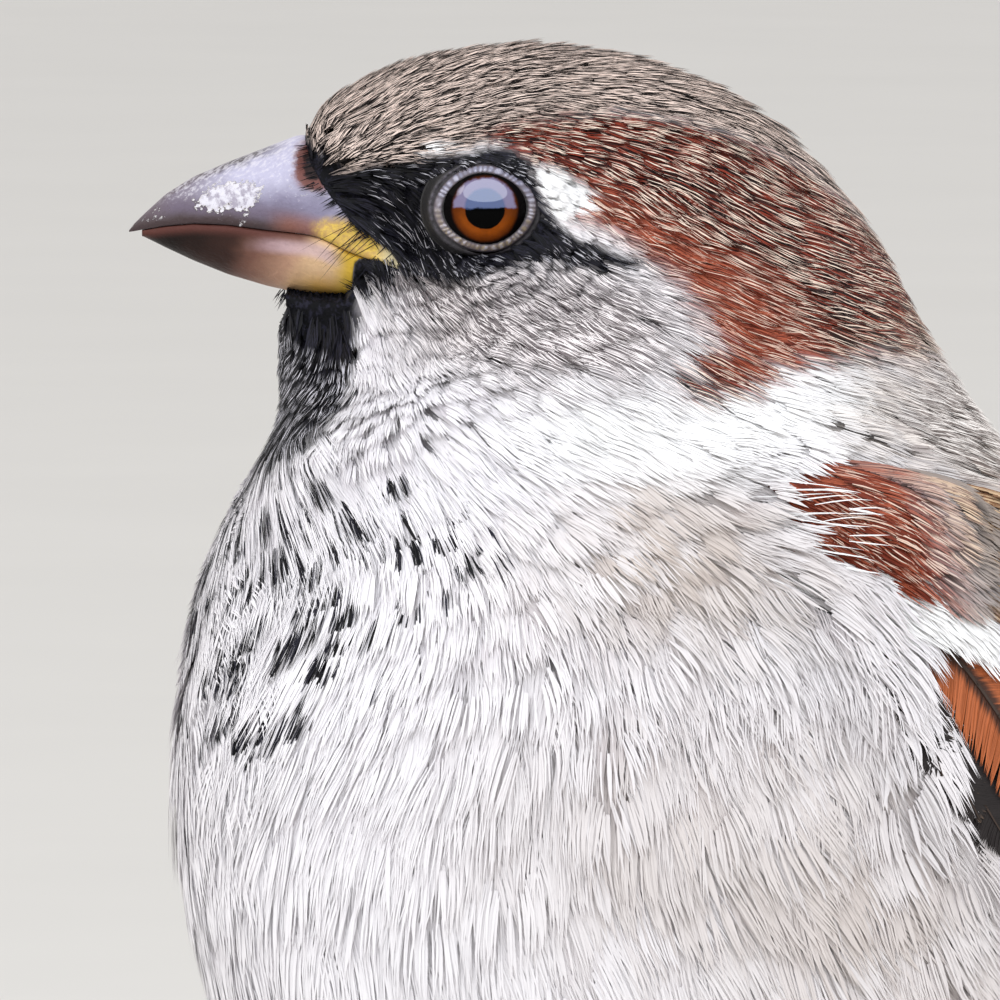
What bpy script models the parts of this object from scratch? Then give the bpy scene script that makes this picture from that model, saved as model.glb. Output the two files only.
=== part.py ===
"""House sparrow, adult male, life size, standing upright with its head turned to its right.

Blender 4.5. Metres, +Z up, the floor at Z = 0. The bird faces -Y and its left side is +X.
Lengths below are millimetres in the bird's own frame. Every ring of points is turned into metres
and centred over the floor by world() when its mesh is made.
"""
import math

import bmesh
import bpy
import numpy as np
from mathutils import Vector

MM = 0.001
MIDDLE_Y = 52.3  # centre of the bird's length in its own frame, which goes over the origin
GAP = 0.3  # air between neighbouring solids

# Head and neck
HEAD_TURN = math.radians(-35)
NECK_AXIS_Y = 9.4
TURN_BEGINS, TURN_ENDS = 9.0, 5.0  # stations between which the neck twists

# The feathered body as stations from the bill's root to the tail coverts:
# back line (y, z), belly line (y, z), half width, and how far the widest part sits below the middle.
STATIONS = np.array(
    [
        (-9.2, 105.9, -9.6, 97.3, 4.2, 0.00),  # bill root
        (-7.5, 108.7, -10.9, 95.3, 5.0, 0.00),  # forehead and chin
        (-2.6, 111.0, -11.1, 93.1, 6.3, 0.04),  # brow
        (4.2, 111.7, -11.0, 91.5, 8.4, 0.14),  # crown and throat
        (11.5, 110.4, -11.2, 90.1, 11.1, 0.22),
        (17.9, 106.9, -11.8, 88.5, 13.9, 0.20),  # hind crown and cheek
        (23.1, 100.8, -12.9, 86.4, 16.8, 0.12),  # nape
        (27.4, 93.4, -14.8, 83.2, 19.6, 0.04),
        (33.6, 86.0, -17.3, 77.8, 22.2, 0.00),  # shoulders
        (40.8, 78.2, -19.2, 70.0, 24.2, -0.04),  # mantle and breast
        (47.6, 70.0, -17.9, 59.8, 25.2, -0.06),
        (53.8, 61.8, -13.0, 48.8, 25.2, -0.04),
        (59.4, 54.4, -4.4, 39.0, 24.0, 0.00),  # back and belly
        (64.6, 48.0, 7.4, 31.6, 21.4, 0.04),
        (69.6, 42.8, 21.4, 28.0, 17.4, 0.06),  # rump
        (74.4, 38.6, 38.0, 28.0, 13.2, 0.06),
        (79.4, 35.2, 56.0, 29.0, 9.8, 0.00),
        (85.0, 32.0, 73.0, 27.6, 8.0, 0.00),  # tail coverts
        (91.0, 28.8, 87.9, 22.9, 6.6, 0.00),
    ]
)
HEAD_START, NECK_START, TRUNK_START, RUMP_START, RUMP_END = 0.45, 6.0, 8.2, 13.5, 18.0
BODY_SIDES = 32

# Bill, in the head's frame before it is turned: distance along the bill is y
BILL_TIP_Y, BILL_ROOT_Y, BILL_MARGIN_Y, BILL_CHIN_Y, GAPE_Y = -19.6, -9.3, -7.3, -5.7, -4.1
NOTCH_AHEAD, NOTCH_HALF = 6.0, 14.0
BILL_KEYS = np.array(
    [
        # y, top z, mouth z, bottom z, half width
        (-19.6, 100.85, 100.75, 100.65, 0.12),
        (-18.6, 101.9, 100.85, 100.35, 0.75),
        (-17.0, 103.0, 100.9, 99.6, 1.5),
        (-14.6, 104.2, 100.95, 98.55, 2.45),
        (-12.0, 105.2, 100.95, 97.7, 3.35),
        (-9.3, 106.0, 100.8, 97.15, 4.2),
        (-7.3, 102.6, 100.3, 97.0, 4.6),
        (-5.7, 100.9, 99.7, 97.5, 4.9),
        (-4.1, 99.35, 99.15, 98.9, 5.1),
    ]
)
MOUTH_GAP = 0.3

# Eye
EYE_Y, EYE_Z, EYE_X = 0.85, 102.55, 6.5
EYE_RADIUS, SOCKET_RADIUS = 3.35, 3.7

# Folded wing, on the body's own stations: the angle of its edges from the back line
WING_EDGES = np.array(
    [
        # station, upper edge, lower edge (degrees)
        (7.60, 60.0, 78.0),
        (8.10, 44.0, 90.0),
        (8.80, 29.0, 93.0),
        (10.0, 18.0, 86.0),
        (11.2, 13.0, 75.0),
        (12.4, 9.0, 63.0),
        (13.8, 8.0, 52.0),
        (15.0, 10.0, 46.0),
        (16.0, 13.0, 39.0),
        (16.8, 20.0, 30.0),
    ]
)
WING_PARTS = {"coverts": (7.60, 10.6), "secondaries": (10.6, 13.3), "primaries": (13.3, 16.8)}
WING_STATION_GAP = 0.04
WING_EDGE_THICK, WING_MIDDLE_THICK = 0.6, 2.0
WING_ACROSS = 8

# Tail
TAIL_SLOPE = math.radians(-28)
TAIL_ROOT = (90.0, 25.4)
TAIL_LENGTH, TAIL_WIDTHS, TAIL_THICKS = 38.5, (12.0, 17.5), (2.6, 1.0)
TAIL_ARCH = 1.1

# Legs and feet
HEEL = (11.2, 31.0, 20.8)
FOOT = (12.4, 22.0)
THIGH_TOP, THIGH_TOP_RADIUS, THIGH_END_RADIUS = (10.6, 27.0, 36.0), 6.2, 1.9
SHANK_RADIUS = 0.95
TOES = {
    # toe: (degrees from straight ahead, length, claw length)
    "inner": (40.0, 8.6, 3.9),
    "middle": (0.0, 13.2, 4.6),
    "outer": (-40.0, 9.4, 3.9),
    "hind": (180.0, 7.6, 6.0),
}
TOE_START, TOE_RADIUS, TOE_HEIGHT = 2.95, 0.72, 0.68
LIMB_SIDES = 10

SIDES = {"left": 1.0, "right": -1.0}


def world(points):
    """Points in the bird's frame, in millimetres, as metres over the origin."""
    return (np.asarray(points, float) - (0.0, MIDDLE_Y, 0.0)) * MM


def ease(low, high, value):
    share = np.clip((value - low) / (high - low), 0.0, 1.0)
    return share * share * (3.0 - 2.0 * share)


def along(table, place):
    """A row of the table at a whole or part row number, on a smooth curve through the rows."""
    last = len(table) - 1
    place = np.clip(np.asarray(place, float), 0.0, last)
    row = np.minimum(place.astype(int), last - 1)
    part = (place - row)[..., None]
    here, after = table[row], table[row + 1]
    before = np.where((row == 0)[..., None], 2 * here - after, table[np.maximum(row - 1, 0)])
    beyond = np.where((row == last - 1)[..., None], 2 * after - here, table[np.minimum(row + 2, last)])
    cubic = -before + 3 * here - 3 * after + beyond
    square = 2 * before - 5 * here + 4 * after - beyond
    return 0.5 * (2 * here + (after - before) * part + square * part**2 + cubic * part**3)


def looked_up(keys, value):
    """The keys' other columns at a value of their first column."""
    return np.array([np.interp(value, keys[:, 0], column) for column in keys[:, 1:].T])


def turned(x, y, z, turn):
    """A point carried round the neck's upright axis."""
    ahead = y - NECK_AXIS_Y
    return np.stack(
        [x * np.cos(turn) - ahead * np.sin(turn), x * np.sin(turn) + ahead * np.cos(turn) + NECK_AXIS_Y, z],
        axis=-1,
    )


def body(station, angle):
    """The body's outer surface. The angle runs from 0 on the back, over the left side, to pi on the belly."""
    station, angle = np.broadcast_arrays(np.asarray(station, float), np.asarray(angle, float))
    row = along(STATIONS, station)
    back, belly, half_width, low = row[..., 0:2], row[..., 2:4], row[..., 4], row[..., 5]
    rise = np.cos(angle) - low * np.sin(angle) ** 2
    side = (back + belly) / 2 + (back - belly) / 2 * rise[..., None]
    turn = HEAD_TURN * (1.0 - ease(TURN_ENDS, TURN_BEGINS, station))
    return turned(half_width * np.sin(angle), side[..., 0], side[..., 1], turn)


def outward(station, angle):
    """The body surface's unit normal."""
    step = 0.01
    down = body(station + step, angle) - body(station - step, angle)
    round_ = body(station, angle + step) - body(station, angle - step)
    normal = np.cross(round_, down)
    return normal / np.linalg.norm(normal, axis=-1, keepdims=True)


def material(name, colour, roughness):
    made = bpy.data.materials.new(name)
    made.use_nodes = True
    shader = made.node_tree.nodes["Principled BSDF"]
    shader.inputs["Base Color"].default_value = (*colour, 1.0)
    shader.inputs["Roughness"].default_value = roughness
    shader.inputs["Metallic"].default_value = 0.0
    return made


def loft(name, rings, finish, collection):
    """A closed solid through rings of equal length, with a fan over each end."""
    mesh = bmesh.new()
    rows = [[mesh.verts.new(Vector(point)) for point in world(ring)] for ring in rings]
    count = len(rows[0])
    for one, two in zip(rows, rows[1:]):
        for i in range(count):
            j = (i + 1) % count
            mesh.faces.new((one[i], one[j], two[j], two[i]))
    for row in (rows[0], rows[-1]):
        mesh.faces.new(row)
    bmesh.ops.recalc_face_normals(mesh, faces=mesh.faces)
    bmesh.ops.triangulate(mesh, faces=mesh.faces)
    data = bpy.data.meshes.new(name)
    mesh.to_mesh(data)
    mesh.free()
    made = bpy.data.objects.new(name, data)
    collection.objects.link(made)
    if finish is not None:
        data.materials.append(finish)
    return made


def cutter(name, rings, collection):
    made = loft(name, rings, None, collection)
    made.hide_render = True
    made.display_type = "WIRE"
    return made


def cut(target, tool):
    change = target.modifiers.new("Cut " + tool.name, "BOOLEAN")
    change.operation = "DIFFERENCE"
    change.solver = "EXACT"
    change.object = tool


def body_rings(start, end, count, grow=0.0, sides=BODY_SIDES, trim=GAP / 2):
    """Rings of the body between two stations, its two end rings drawn in by half a gap."""
    angles = np.linspace(0.0, 2 * math.pi, sides, endpoint=False)
    rings = []
    for station in np.linspace(start, end, count):
        ring = body(station, angles)
        if grow:
            ring = ring + outward(np.full(sides, station), angles) * grow
        rings.append(ring)
    for index, inward in ((0, 1), (-1, -2)):
        across = rings[index][sides // 4] - rings[index][3 * sides // 4]
        upright = rings[index][0] - rings[index][sides // 2]
        normal = np.cross(across, upright)
        normal /= np.linalg.norm(normal)
        if np.dot(rings[inward].mean(axis=0) - rings[index].mean(axis=0), normal) < 0:
            normal = -normal
        rings[index] = rings[index] + normal * trim
    return rings


def make_flesh(finishes, parts, helpers):
    head = loft("head", body_rings(HEAD_START, NECK_START, 16), finishes["head"], parts)
    loft("neck", body_rings(NECK_START, TRUNK_START, 6), finishes["neck"], parts)
    loft("trunk", body_rings(TRUNK_START, RUMP_START, 14), finishes["trunk"], parts)
    loft("rump", body_rings(RUMP_START, RUMP_END, 11, sides=24), finishes["trunk"], parts)
    cut(head, bill_notch(helpers))
    for side, sign in SIDES.items():
        centre = turned(sign * EYE_X, EYE_Y, EYE_Z, HEAD_TURN)
        cut(head, cutter("socket_" + side, ball_rings(centre, SOCKET_RADIUS, 12, 16), helpers))
        eye = ball_rings(centre, EYE_RADIUS, 10, 16)
        loft("eye_" + side, eye, finishes["eye"], parts)


def ball_rings(centre, radius, rows, sides):
    angles = np.linspace(0.0, 2 * math.pi, sides, endpoint=False)
    rings = []
    for polar in np.linspace(0.12, math.pi - 0.12, rows):
        flat = np.stack([np.cos(angles), np.sin(angles), np.zeros(sides)], axis=-1) * math.sin(polar)
        rings.append(centre + radius * (flat + (0.0, 0.0, math.cos(polar))))
    return rings


def bill_notch(helpers):
    """The open notch in the face that the bill's root and the gape sit in."""
    root, gape = looked_up(BILL_KEYS, BILL_ROOT_Y), looked_up(BILL_KEYS, GAPE_Y)
    margin, chin = looked_up(BILL_KEYS, BILL_MARGIN_Y), looked_up(BILL_KEYS, BILL_CHIN_Y)
    outline = [
        (BILL_ROOT_Y - NOTCH_AHEAD, root[0] + GAP),
        (BILL_ROOT_Y + GAP, root[0] + GAP),
        (BILL_MARGIN_Y + GAP, margin[0] + GAP),
        (GAPE_Y + 1.5 * GAP, gape[1] + GAP),
        (GAPE_Y + 1.5 * GAP, gape[1] - 1.5 * GAP),
        (BILL_CHIN_Y + GAP, chin[2] - 1.5 * GAP),
        (BILL_MARGIN_Y, margin[2] - GAP),
        (BILL_ROOT_Y - NOTCH_AHEAD, margin[2] - GAP),
    ]
    rings = [[turned(x, y, z, HEAD_TURN) for y, z in outline] for x in (-NOTCH_HALF, NOTCH_HALF)]
    return cutter("bill_notch", rings, helpers)


def make_bill(finishes, parts):
    """Two mandibles that close on the mouth line, from the tip back to the corner of the gape."""
    stops = np.concatenate([np.linspace(BILL_TIP_Y, BILL_ROOT_Y, 9), np.linspace(-8.3, GAPE_Y, 4)])
    arch = np.linspace(-math.pi / 2, math.pi / 2, 13)
    for name, column, lift in (("upper_bill", 0, MOUTH_GAP / 2), ("lower_bill", 2, -MOUTH_GAP / 2)):
        rings = []
        for y in stops:
            row = looked_up(BILL_KEYS, y)
            mouth = row[1] + lift
            reach = row[column] - row[1]
            depth = math.copysign(max(abs(reach), 0.12), reach)
            ring = [(row[3] * math.sin(a), y, mouth + depth * math.cos(a)) for a in arch]
            rings.append([turned(*point, HEAD_TURN) for point in ring])
        loft(name, rings, finishes[name], parts)


def make_wing(side, finishes, parts):
    """The folded wing in three panels over the body's flank: coverts, secondaries, primaries."""
    share = np.linspace(0.0, 1.0, WING_ACROSS)
    thick = WING_EDGE_THICK + (WING_MIDDLE_THICK - WING_EDGE_THICK) * np.sqrt(np.sin(math.pi * share))
    for part, (start, end) in WING_PARTS.items():
        rings = []
        for station in np.linspace(start + WING_STATION_GAP / 2, end - WING_STATION_GAP / 2, 7):
            upper, lower = np.radians(looked_up(WING_EDGES, station))
            angles = upper + (lower - upper) * share
            skin, normal = body(station, angles), outward(np.full(WING_ACROSS, station), angles)
            inner = skin + normal * (GAP + 0.05)
            outer = inner + normal * thick[:, None]
            ring = np.concatenate([outer, inner[::-1]])
            ring[:, 0] *= SIDES[side]
            rings.append(ring)
        loft(f"wing_{part}_{side}", rings, finishes["wing_" + part], parts)


def make_tail(finishes, parts):
    back, up = (math.cos(TAIL_SLOPE), math.sin(TAIL_SLOPE)), (-math.sin(TAIL_SLOPE), math.cos(TAIL_SLOPE))
    rings = []
    for share in np.linspace(0.0, 1.0, 8):
        half = (TAIL_WIDTHS[0] + (TAIL_WIDTHS[1] - TAIL_WIDTHS[0]) * share) / 2
        thick = TAIL_THICKS[0] + (TAIL_THICKS[1] - TAIL_THICKS[0]) * share
        edge = np.linspace(-1.0, 1.0, 8)
        top = thick / 2 * np.sqrt(1.02 - edge**2) - TAIL_ARCH * edge**2
        bottom = -thick / 2 * np.sqrt(1.02 - edge**2) - TAIL_ARCH * edge**2
        notch = -1.6 * (1.0 - np.abs(edge)) * share**4
        loop = list(zip(edge, top, notch)) + list(zip(edge, bottom, notch))[::-1]
        ring = []
        for x, height, pulled in loop:
            reach = TAIL_LENGTH * share + GAP + pulled
            y = TAIL_ROOT[0] + back[0] * reach + up[0] * height
            z = TAIL_ROOT[1] + back[1] * reach + up[1] * height
            ring.append((x * half, y, z))
        rings.append(ring)
    loft("tail", rings, finishes["tail"], parts)


def limb_rings(path, radii, sides=LIMB_SIDES, floor=None):
    """Round rings square to a path, pressed flat where they would go through the floor."""
    path = np.asarray(path, float)
    ways = np.gradient(path, axis=0)
    ways /= np.linalg.norm(ways, axis=1, keepdims=True)
    rings = []
    for point, way, radius in zip(path, ways, radii):
        side = np.cross(way, (0.0, 0.0, 1.0))
        if np.linalg.norm(side) < 0.3:
            side = np.array((1.0, 0.0, 0.0))
        side /= np.linalg.norm(side)
        over = np.cross(side, way)
        angles = np.linspace(0.0, 2 * math.pi, sides, endpoint=False) + math.pi / sides
        ring = point + radius * (np.cos(angles)[:, None] * side + np.sin(angles)[:, None] * over)
        if floor is not None:
            ring[:, 2] = np.maximum(ring[:, 2], floor)
        rings.append(ring)
    return rings


def make_leg(side, finishes, parts, belly_tool):
    sign = np.array((SIDES[side], 1.0, 1.0))
    share = np.linspace(0.0, 1.0, 6)[:, None]
    top, heel = np.array(THIGH_TOP) * sign, np.array(HEEL) * sign
    radii = THIGH_TOP_RADIUS + (THIGH_END_RADIUS - THIGH_TOP_RADIUS) * share[:, 0] ** 0.8
    thigh = limb_rings(top + (heel + (0, 0, GAP) - top) * share, radii, sides=14)
    cut(loft("thigh_" + side, thigh, finishes["trunk"], parts), belly_tool)

    foot = np.array((FOOT[0], FOOT[1], 0.0)) * sign
    heights = (HEEL[2] - GAP, 17.5, 12.0, 7.0, 4.4, 2.6, 1.2, 0.0)
    widths = (1.35, SHANK_RADIUS, SHANK_RADIUS, SHANK_RADIUS, 1.2, 1.9, 2.4, 2.1)
    angles = np.linspace(0.0, 2 * math.pi, LIMB_SIDES, endpoint=False)
    rings = []
    for height, width in zip(heights, widths):
        part = 1.0 - min(1.0, max(0.0, height - 3.0) / (HEEL[2] - 3.0))
        centre = heel + (foot - heel) * part
        flat = np.stack([np.cos(angles), np.sin(angles), np.zeros(LIMB_SIDES)], axis=-1)
        rings.append((centre[0], centre[1], height) + width * flat)
    loft("shank_" + side, rings, finishes["leg"], parts)
    for toe, (degrees, length, claw) in TOES.items():
        make_toe(side, toe, foot, math.radians(degrees) * SIDES[side], length, claw, finishes, parts)


def make_toe(side, toe, foot, heading, length, claw, finishes, parts):
    """One toe that lies on the floor, and the curved claw at its end."""
    ahead = np.array((-math.sin(heading), -math.cos(heading), 0.0))
    share = np.linspace(0.0, 1.0, 8)
    knuckle = 0.09 * np.cos(share * 6 * math.pi)
    path = foot + ahead * (TOE_START + (length - TOE_START) * share)[:, None]
    path[:, 2] = TOE_HEIGHT + 0.12 * knuckle
    toe_rings = limb_rings(path, TOE_RADIUS + knuckle, floor=0.0)
    loft(f"toe_{toe}_{side}", toe_rings, finishes["leg"], parts)

    share = np.linspace(0.0, 1.0, 6)
    path = foot + ahead * (length + GAP + claw * share)[:, None]
    path[:, 2] = 0.86 + 0.62 * np.sin(share * math.pi * 0.62) - 1.12 * share**2
    claw_rings = limb_rings(path, 0.56 - 0.46 * share, sides=8, floor=0.0)
    loft(f"claw_{toe}_{side}", claw_rings, finishes["claw"], parts)


def main():
    for thing in list(bpy.data.objects):
        bpy.data.objects.remove(thing)
    parts = bpy.data.collections.new("house_sparrow")
    helpers = bpy.data.collections.new("cutters")
    for collection in (parts, helpers):
        bpy.context.scene.collection.children.link(collection)
    finishes = {
        "head": material("head feathers", (0.17, 0.11, 0.08), 0.75),
        "neck": material("neck feathers", (0.50, 0.44, 0.40), 0.75),
        "trunk": material("body feathers", (0.60, 0.56, 0.52), 0.8),
        "wing_coverts": material("covert feathers", (0.28, 0.09, 0.035), 0.65),
        "wing_secondaries": material("secondary feathers", (0.12, 0.055, 0.03), 0.6),
        "wing_primaries": material("primary feathers", (0.035, 0.025, 0.02), 0.6),
        "tail": material("tail feathers", (0.06, 0.045, 0.035), 0.6),
        "upper_bill": material("upper horn", (0.18, 0.16, 0.20), 0.35),
        "lower_bill": material("lower horn", (0.32, 0.20, 0.13), 0.38),
        "eye": material("eye", (0.03, 0.012, 0.006), 0.06),
        "leg": material("leg scale", (0.30, 0.17, 0.12), 0.5),
        "claw": material("claw horn", (0.05, 0.035, 0.03), 0.35),
    }
    make_flesh(finishes, parts, helpers)
    make_bill(finishes, parts)
    make_tail(finishes, parts)
    belly_tool = cutter("belly_clearance", body_rings(11.0, 16.5, 12, grow=GAP), helpers)
    for side in SIDES:
        make_wing(side, finishes, parts)
        make_leg(side, finishes, parts, belly_tool)


main()
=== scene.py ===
"""The looks of the standing house sparrow: skin, coat, wings, tail, bill, eyes and legs round the solids.

Lengths are millimetres in the bird's own frame, in which the head is modelled looking straight ahead and
then carried round the neck. A place on the body is a station from the bill's root (0) to the tail's end,
and an angle from the middle of the back (0) over the left side to the middle of the belly (180 degrees).
"""

import math

import bpy
import numpy as np
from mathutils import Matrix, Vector

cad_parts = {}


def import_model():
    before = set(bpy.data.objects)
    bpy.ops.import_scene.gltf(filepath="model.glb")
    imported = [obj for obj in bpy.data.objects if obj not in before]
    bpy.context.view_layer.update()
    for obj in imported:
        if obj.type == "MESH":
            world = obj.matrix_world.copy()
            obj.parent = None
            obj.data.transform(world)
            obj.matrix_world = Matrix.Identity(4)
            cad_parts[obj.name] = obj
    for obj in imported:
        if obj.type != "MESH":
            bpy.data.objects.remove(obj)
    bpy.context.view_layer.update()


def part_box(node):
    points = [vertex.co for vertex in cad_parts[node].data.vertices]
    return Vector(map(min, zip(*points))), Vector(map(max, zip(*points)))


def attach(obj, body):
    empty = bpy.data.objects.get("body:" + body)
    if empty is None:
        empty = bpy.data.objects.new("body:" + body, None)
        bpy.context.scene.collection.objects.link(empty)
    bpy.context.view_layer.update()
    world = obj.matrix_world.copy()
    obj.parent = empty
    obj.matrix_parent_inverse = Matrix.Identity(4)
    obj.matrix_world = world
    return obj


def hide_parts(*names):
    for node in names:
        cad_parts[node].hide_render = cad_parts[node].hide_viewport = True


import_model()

MM = 0.001
SEED = 11
FLESH = ("head", "neck", "trunk", "rump", "thigh_left", "thigh_right")

# ---------------------------------------------------------------- the body's shape

HEAD_TURN = math.radians(-35)
NECK_AXIS_Y = 9.4
TURN_BEGINS, TURN_ENDS = 9.0, 5.0
STATIONS = np.array(
    [
        # back line y, z, belly line y, z, half width, how low the widest part sits
        (-9.5, 106.45, -10.4, 97.35, 4.4, 0.00),
        (-7.6, 108.8, -11.0, 95.3, 5.1, 0.00),
        (-2.6, 111.0, -11.1, 93.1, 6.3, 0.04),
        (4.2, 111.7, -11.0, 91.5, 8.4, 0.14),
        (11.5, 110.4, -11.2, 90.1, 11.1, 0.22),
        (17.9, 106.9, -11.8, 88.5, 13.9, 0.20),
        (23.1, 100.8, -12.9, 86.4, 16.8, 0.12),
        (27.4, 93.4, -14.8, 83.2, 19.6, 0.04),
        (33.6, 86.0, -17.3, 77.8, 22.2, 0.00),
        (40.8, 78.2, -19.2, 70.0, 24.2, -0.04),
        (47.6, 70.0, -17.9, 59.8, 25.2, -0.06),
        (53.8, 61.8, -13.0, 48.8, 25.2, -0.04),
        (59.4, 54.4, -4.4, 39.0, 24.0, 0.00),
        (64.6, 48.0, 7.4, 31.6, 21.4, 0.04),
        (69.6, 42.8, 21.4, 28.0, 17.4, 0.06),
        (74.4, 38.6, 38.0, 28.0, 13.2, 0.06),
        (79.4, 35.2, 56.0, 29.0, 9.8, 0.00),
        (85.0, 32.0, 73.0, 27.6, 8.0, 0.00),
        (91.0, 28.8, 87.9, 22.9, 6.6, 0.00),
        (99.0, 24.4, 96.8, 20.6, 5.6, 0.00),
    ]
)
SKIN_START, SKIN_END = 0.0, 18.0
LAST_STATION = 19.0

BILL_KEYS = np.array(
    [
        # y, top z, mouth z, bottom z, half width; from the ninth row on it lies inside the head
        (-19.6, 100.72, 100.68, 100.64, 0.08),
        (-19.4, 101.05, 100.72, 100.62, 0.30),
        (-18.8, 101.65, 100.85, 100.5, 0.66),
        (-17.5, 102.85, 101.1, 99.85, 1.3),
        (-15.9, 103.85, 101.28, 99.1, 1.98),
        (-13.9, 104.7, 101.25, 98.3, 2.75),
        (-11.7, 105.55, 101.0, 97.65, 3.5),
        (-9.9, 106.25, 100.85, 97.25, 4.1),
        (-9.3, 106.25, 100.78, 97.15, 4.28),
        (-8.6, 105.7, 100.6, 97.1, 4.5),
        (-7.8, 105.0, 100.25, 97.05, 4.75),
        (-7.0, 104.3, 99.85, 97.05, 5.0),
        (-6.0, 103.4, 99.5, 97.15, 5.35),
        (-5.0, 102.3, 99.15, 97.4, 5.65),
        (-4.0, 101.2, 98.85, 97.6, 5.9),
        (-3.4, 100.4, 98.7, 97.9, 5.95),
    ]
)
BILL_TIP_Y, BILL_END_Y = -19.6, -3.4
# The bare horn and gape between the feathers, as (y, z) on the head's side
BARE_BILL = [
    (-9.55, 106.6), (-9.2, 105.7), (-8.9, 104.6), (-8.5, 103.7), (-7.9, 102.9), (-7.4, 102.3),
    (-6.9, 101.7), (-6.4, 101.2), (-5.8, 100.8), (-5.2, 100.4), (-4.6, 99.9), (-4.0, 99.2),
    (-4.0, 98.8), (-4.7, 99.1), (-5.5, 99.4), (-6.1, 99.5), (-6.6, 99.3), (-6.75, 98.4), (-6.8, 97.1),
    (-8.0, 97.0), (-9.5, 97.1), (-10.8, 97.35), (-12.0, 97.6), (-25.0, 97.6), (-25.0, 115.0),
    (-9.7, 115.0),
]

EYE_Y, EYE_Z, EYE_X, EYE_RADIUS = 0.85, 102.55, 6.5, 3.35
LID_PLANE = 8.72  # how far the rim of the lids lies from the head's middle plane
LID_OVAL = 0.84  # the height of the lids' opening against its length

# Low swellings and hollows of the head: station, degrees, spread of each, height
FACE_FORMS = (
    (2.2, 86.0, 0.85, 26.0, -0.75),  # hollow of the lores and gape
    (3.1, 44.0, 0.7, 12.0, 0.35),  # brow
    (4.7, 92.0, 0.9, 24.0, 0.55),  # cheek
    (6.5, 88.0, 0.45, 28.0, -0.25),  # crease between cheek and breast
    (7.6, 118.0, 0.7, 26.0, 0.4),  # breast's upper roll
)

WING_EDGES = np.array(
    [
        # station, upper edge, lower edge (degrees)
        (7.1, 64.0, 82.0),
        (7.4, 57.0, 83.0),
        (7.7, 51.0, 86.0),
        (8.1, 42.0, 89.0),
        (8.8, 29.0, 94.0),
        (9.4, 23.0, 92.0),
        (10.0, 18.0, 89.0),
        (11.2, 13.0, 77.0),
        (12.4, 9.0, 64.0),
        (13.8, 8.0, 52.0),
        (15.0, 10.0, 46.0),
        (16.0, 13.0, 39.0),
        (16.8, 20.0, 30.0),
    ]
)

EYE_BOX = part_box("eye_left")
MIDDLE_Y = 52.3


def world(points):
    """Points in the bird's frame, in millimetres, as metres over the origin."""
    return (np.asarray(points, float) - (0.0, MIDDLE_Y, 0.0)) * MM


def ease(low, high, value):
    share = np.clip((value - low) / (high - low), 0.0, 1.0)
    return share * share * (3.0 - 2.0 * share)


def blend(one, two, share):
    return one + (two - one) * share


def stacked(*parts):
    """Numbers side by side, as the last axis of one array."""
    return np.stack(parts, axis=-1)


def unit(vectors):
    return vectors / np.maximum(np.linalg.norm(vectors, axis=-1, keepdims=True), 1e-9)


def along(table, place):
    """A row of the table at a whole or part row number, on a smooth curve through the rows."""
    last = len(table) - 1
    place = np.clip(np.asarray(place, float), 0.0, last)
    row = np.minimum(place.astype(int), last - 1)
    part = (place - row)[..., None]
    here, after = table[row], table[row + 1]
    before = np.where((row == 0)[..., None], 2 * here - after, table[np.maximum(row - 1, 0)])
    beyond = np.where((row == last - 1)[..., None], 2 * after - here, table[np.minimum(row + 2, last)])
    cubic = -before + 3 * here - 3 * after + beyond
    square = 2 * before - 5 * here + 4 * after - beyond
    return 0.5 * (2 * here + (after - before) * part + square * part**2 + cubic * part**3)


def keyed(keys, value):
    """The keys' other columns at values of their first column."""
    return [np.interp(value, keys[:, 0], column) for column in keys[:, 1:].T]


def turned(x, y, z, turn):
    """A point carried round the neck's upright axis."""
    ahead = y - NECK_AXIS_Y
    aside = x * np.cos(turn) - ahead * np.sin(turn)
    return stacked(aside, x * np.sin(turn) + ahead * np.cos(turn) + NECK_AXIS_Y, z)


def side_degrees(angle):
    """Degrees from the back towards the belly, the same on both sides."""
    around = np.mod(angle, 2 * math.pi)
    return np.degrees(np.minimum(around, 2 * math.pi - around))


def spot(station, degrees, at, round_at, spread, round_spread):
    """1 at a place on the body, falling off round it over the spreads."""
    return np.exp(-((station - at) / spread) ** 2 - ((degrees - round_at) / round_spread) ** 2)


def spots(table, station, degrees):
    """The sum of round spots, each given by its place, its spreads and its height."""
    return sum(height * spot(station, degrees, *place) for *place, height in table)


def eye_distance(y, z):
    """How far a point of the head's side lies from the eye's middle, in an oval measure."""
    return np.hypot(y - EYE_Y, (z - EYE_Z) / LID_OVAL)


def depth_inside(outline, x, y):
    """How far a point lies inside an outline, less than 0 outside it."""
    corners = np.array(outline)
    nearest = np.full(np.shape(x), 1e9)
    inside = np.zeros(np.shape(x), bool)
    for (x0, y0), (x1, y1) in zip(corners, np.roll(corners, -1, axis=0)):
        length = (x1 - x0) ** 2 + (y1 - y0) ** 2
        share = np.clip(((x - x0) * (x1 - x0) + (y - y0) * (y1 - y0)) / length, 0, 1)
        nearest = np.minimum(nearest, np.hypot(x - x0 - share * (x1 - x0), y - y0 - share * (y1 - y0)))
        crosses = (y0 > y) != (y1 > y)
        rise = y1 - y0 if abs(y1 - y0) > 1e-9 else 1e-9
        inside ^= crosses & (x < (x1 - x0) * (y - y0) / rise + x0)
    return np.where(inside, nearest, -nearest)


def bill_width(y, z, least):
    """The half width of the bill at a point of its side view, never under a share of the widest there."""
    top, mouth, bottom, half = keyed(BILL_KEYS, y)
    height = np.where(z > mouth, (z - mouth) / (top - mouth), (mouth - z) / (mouth - bottom))
    return half * np.sqrt(np.clip(1.0 - np.clip(height, 0, 1) ** 2.2, least, 1.0))


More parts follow.
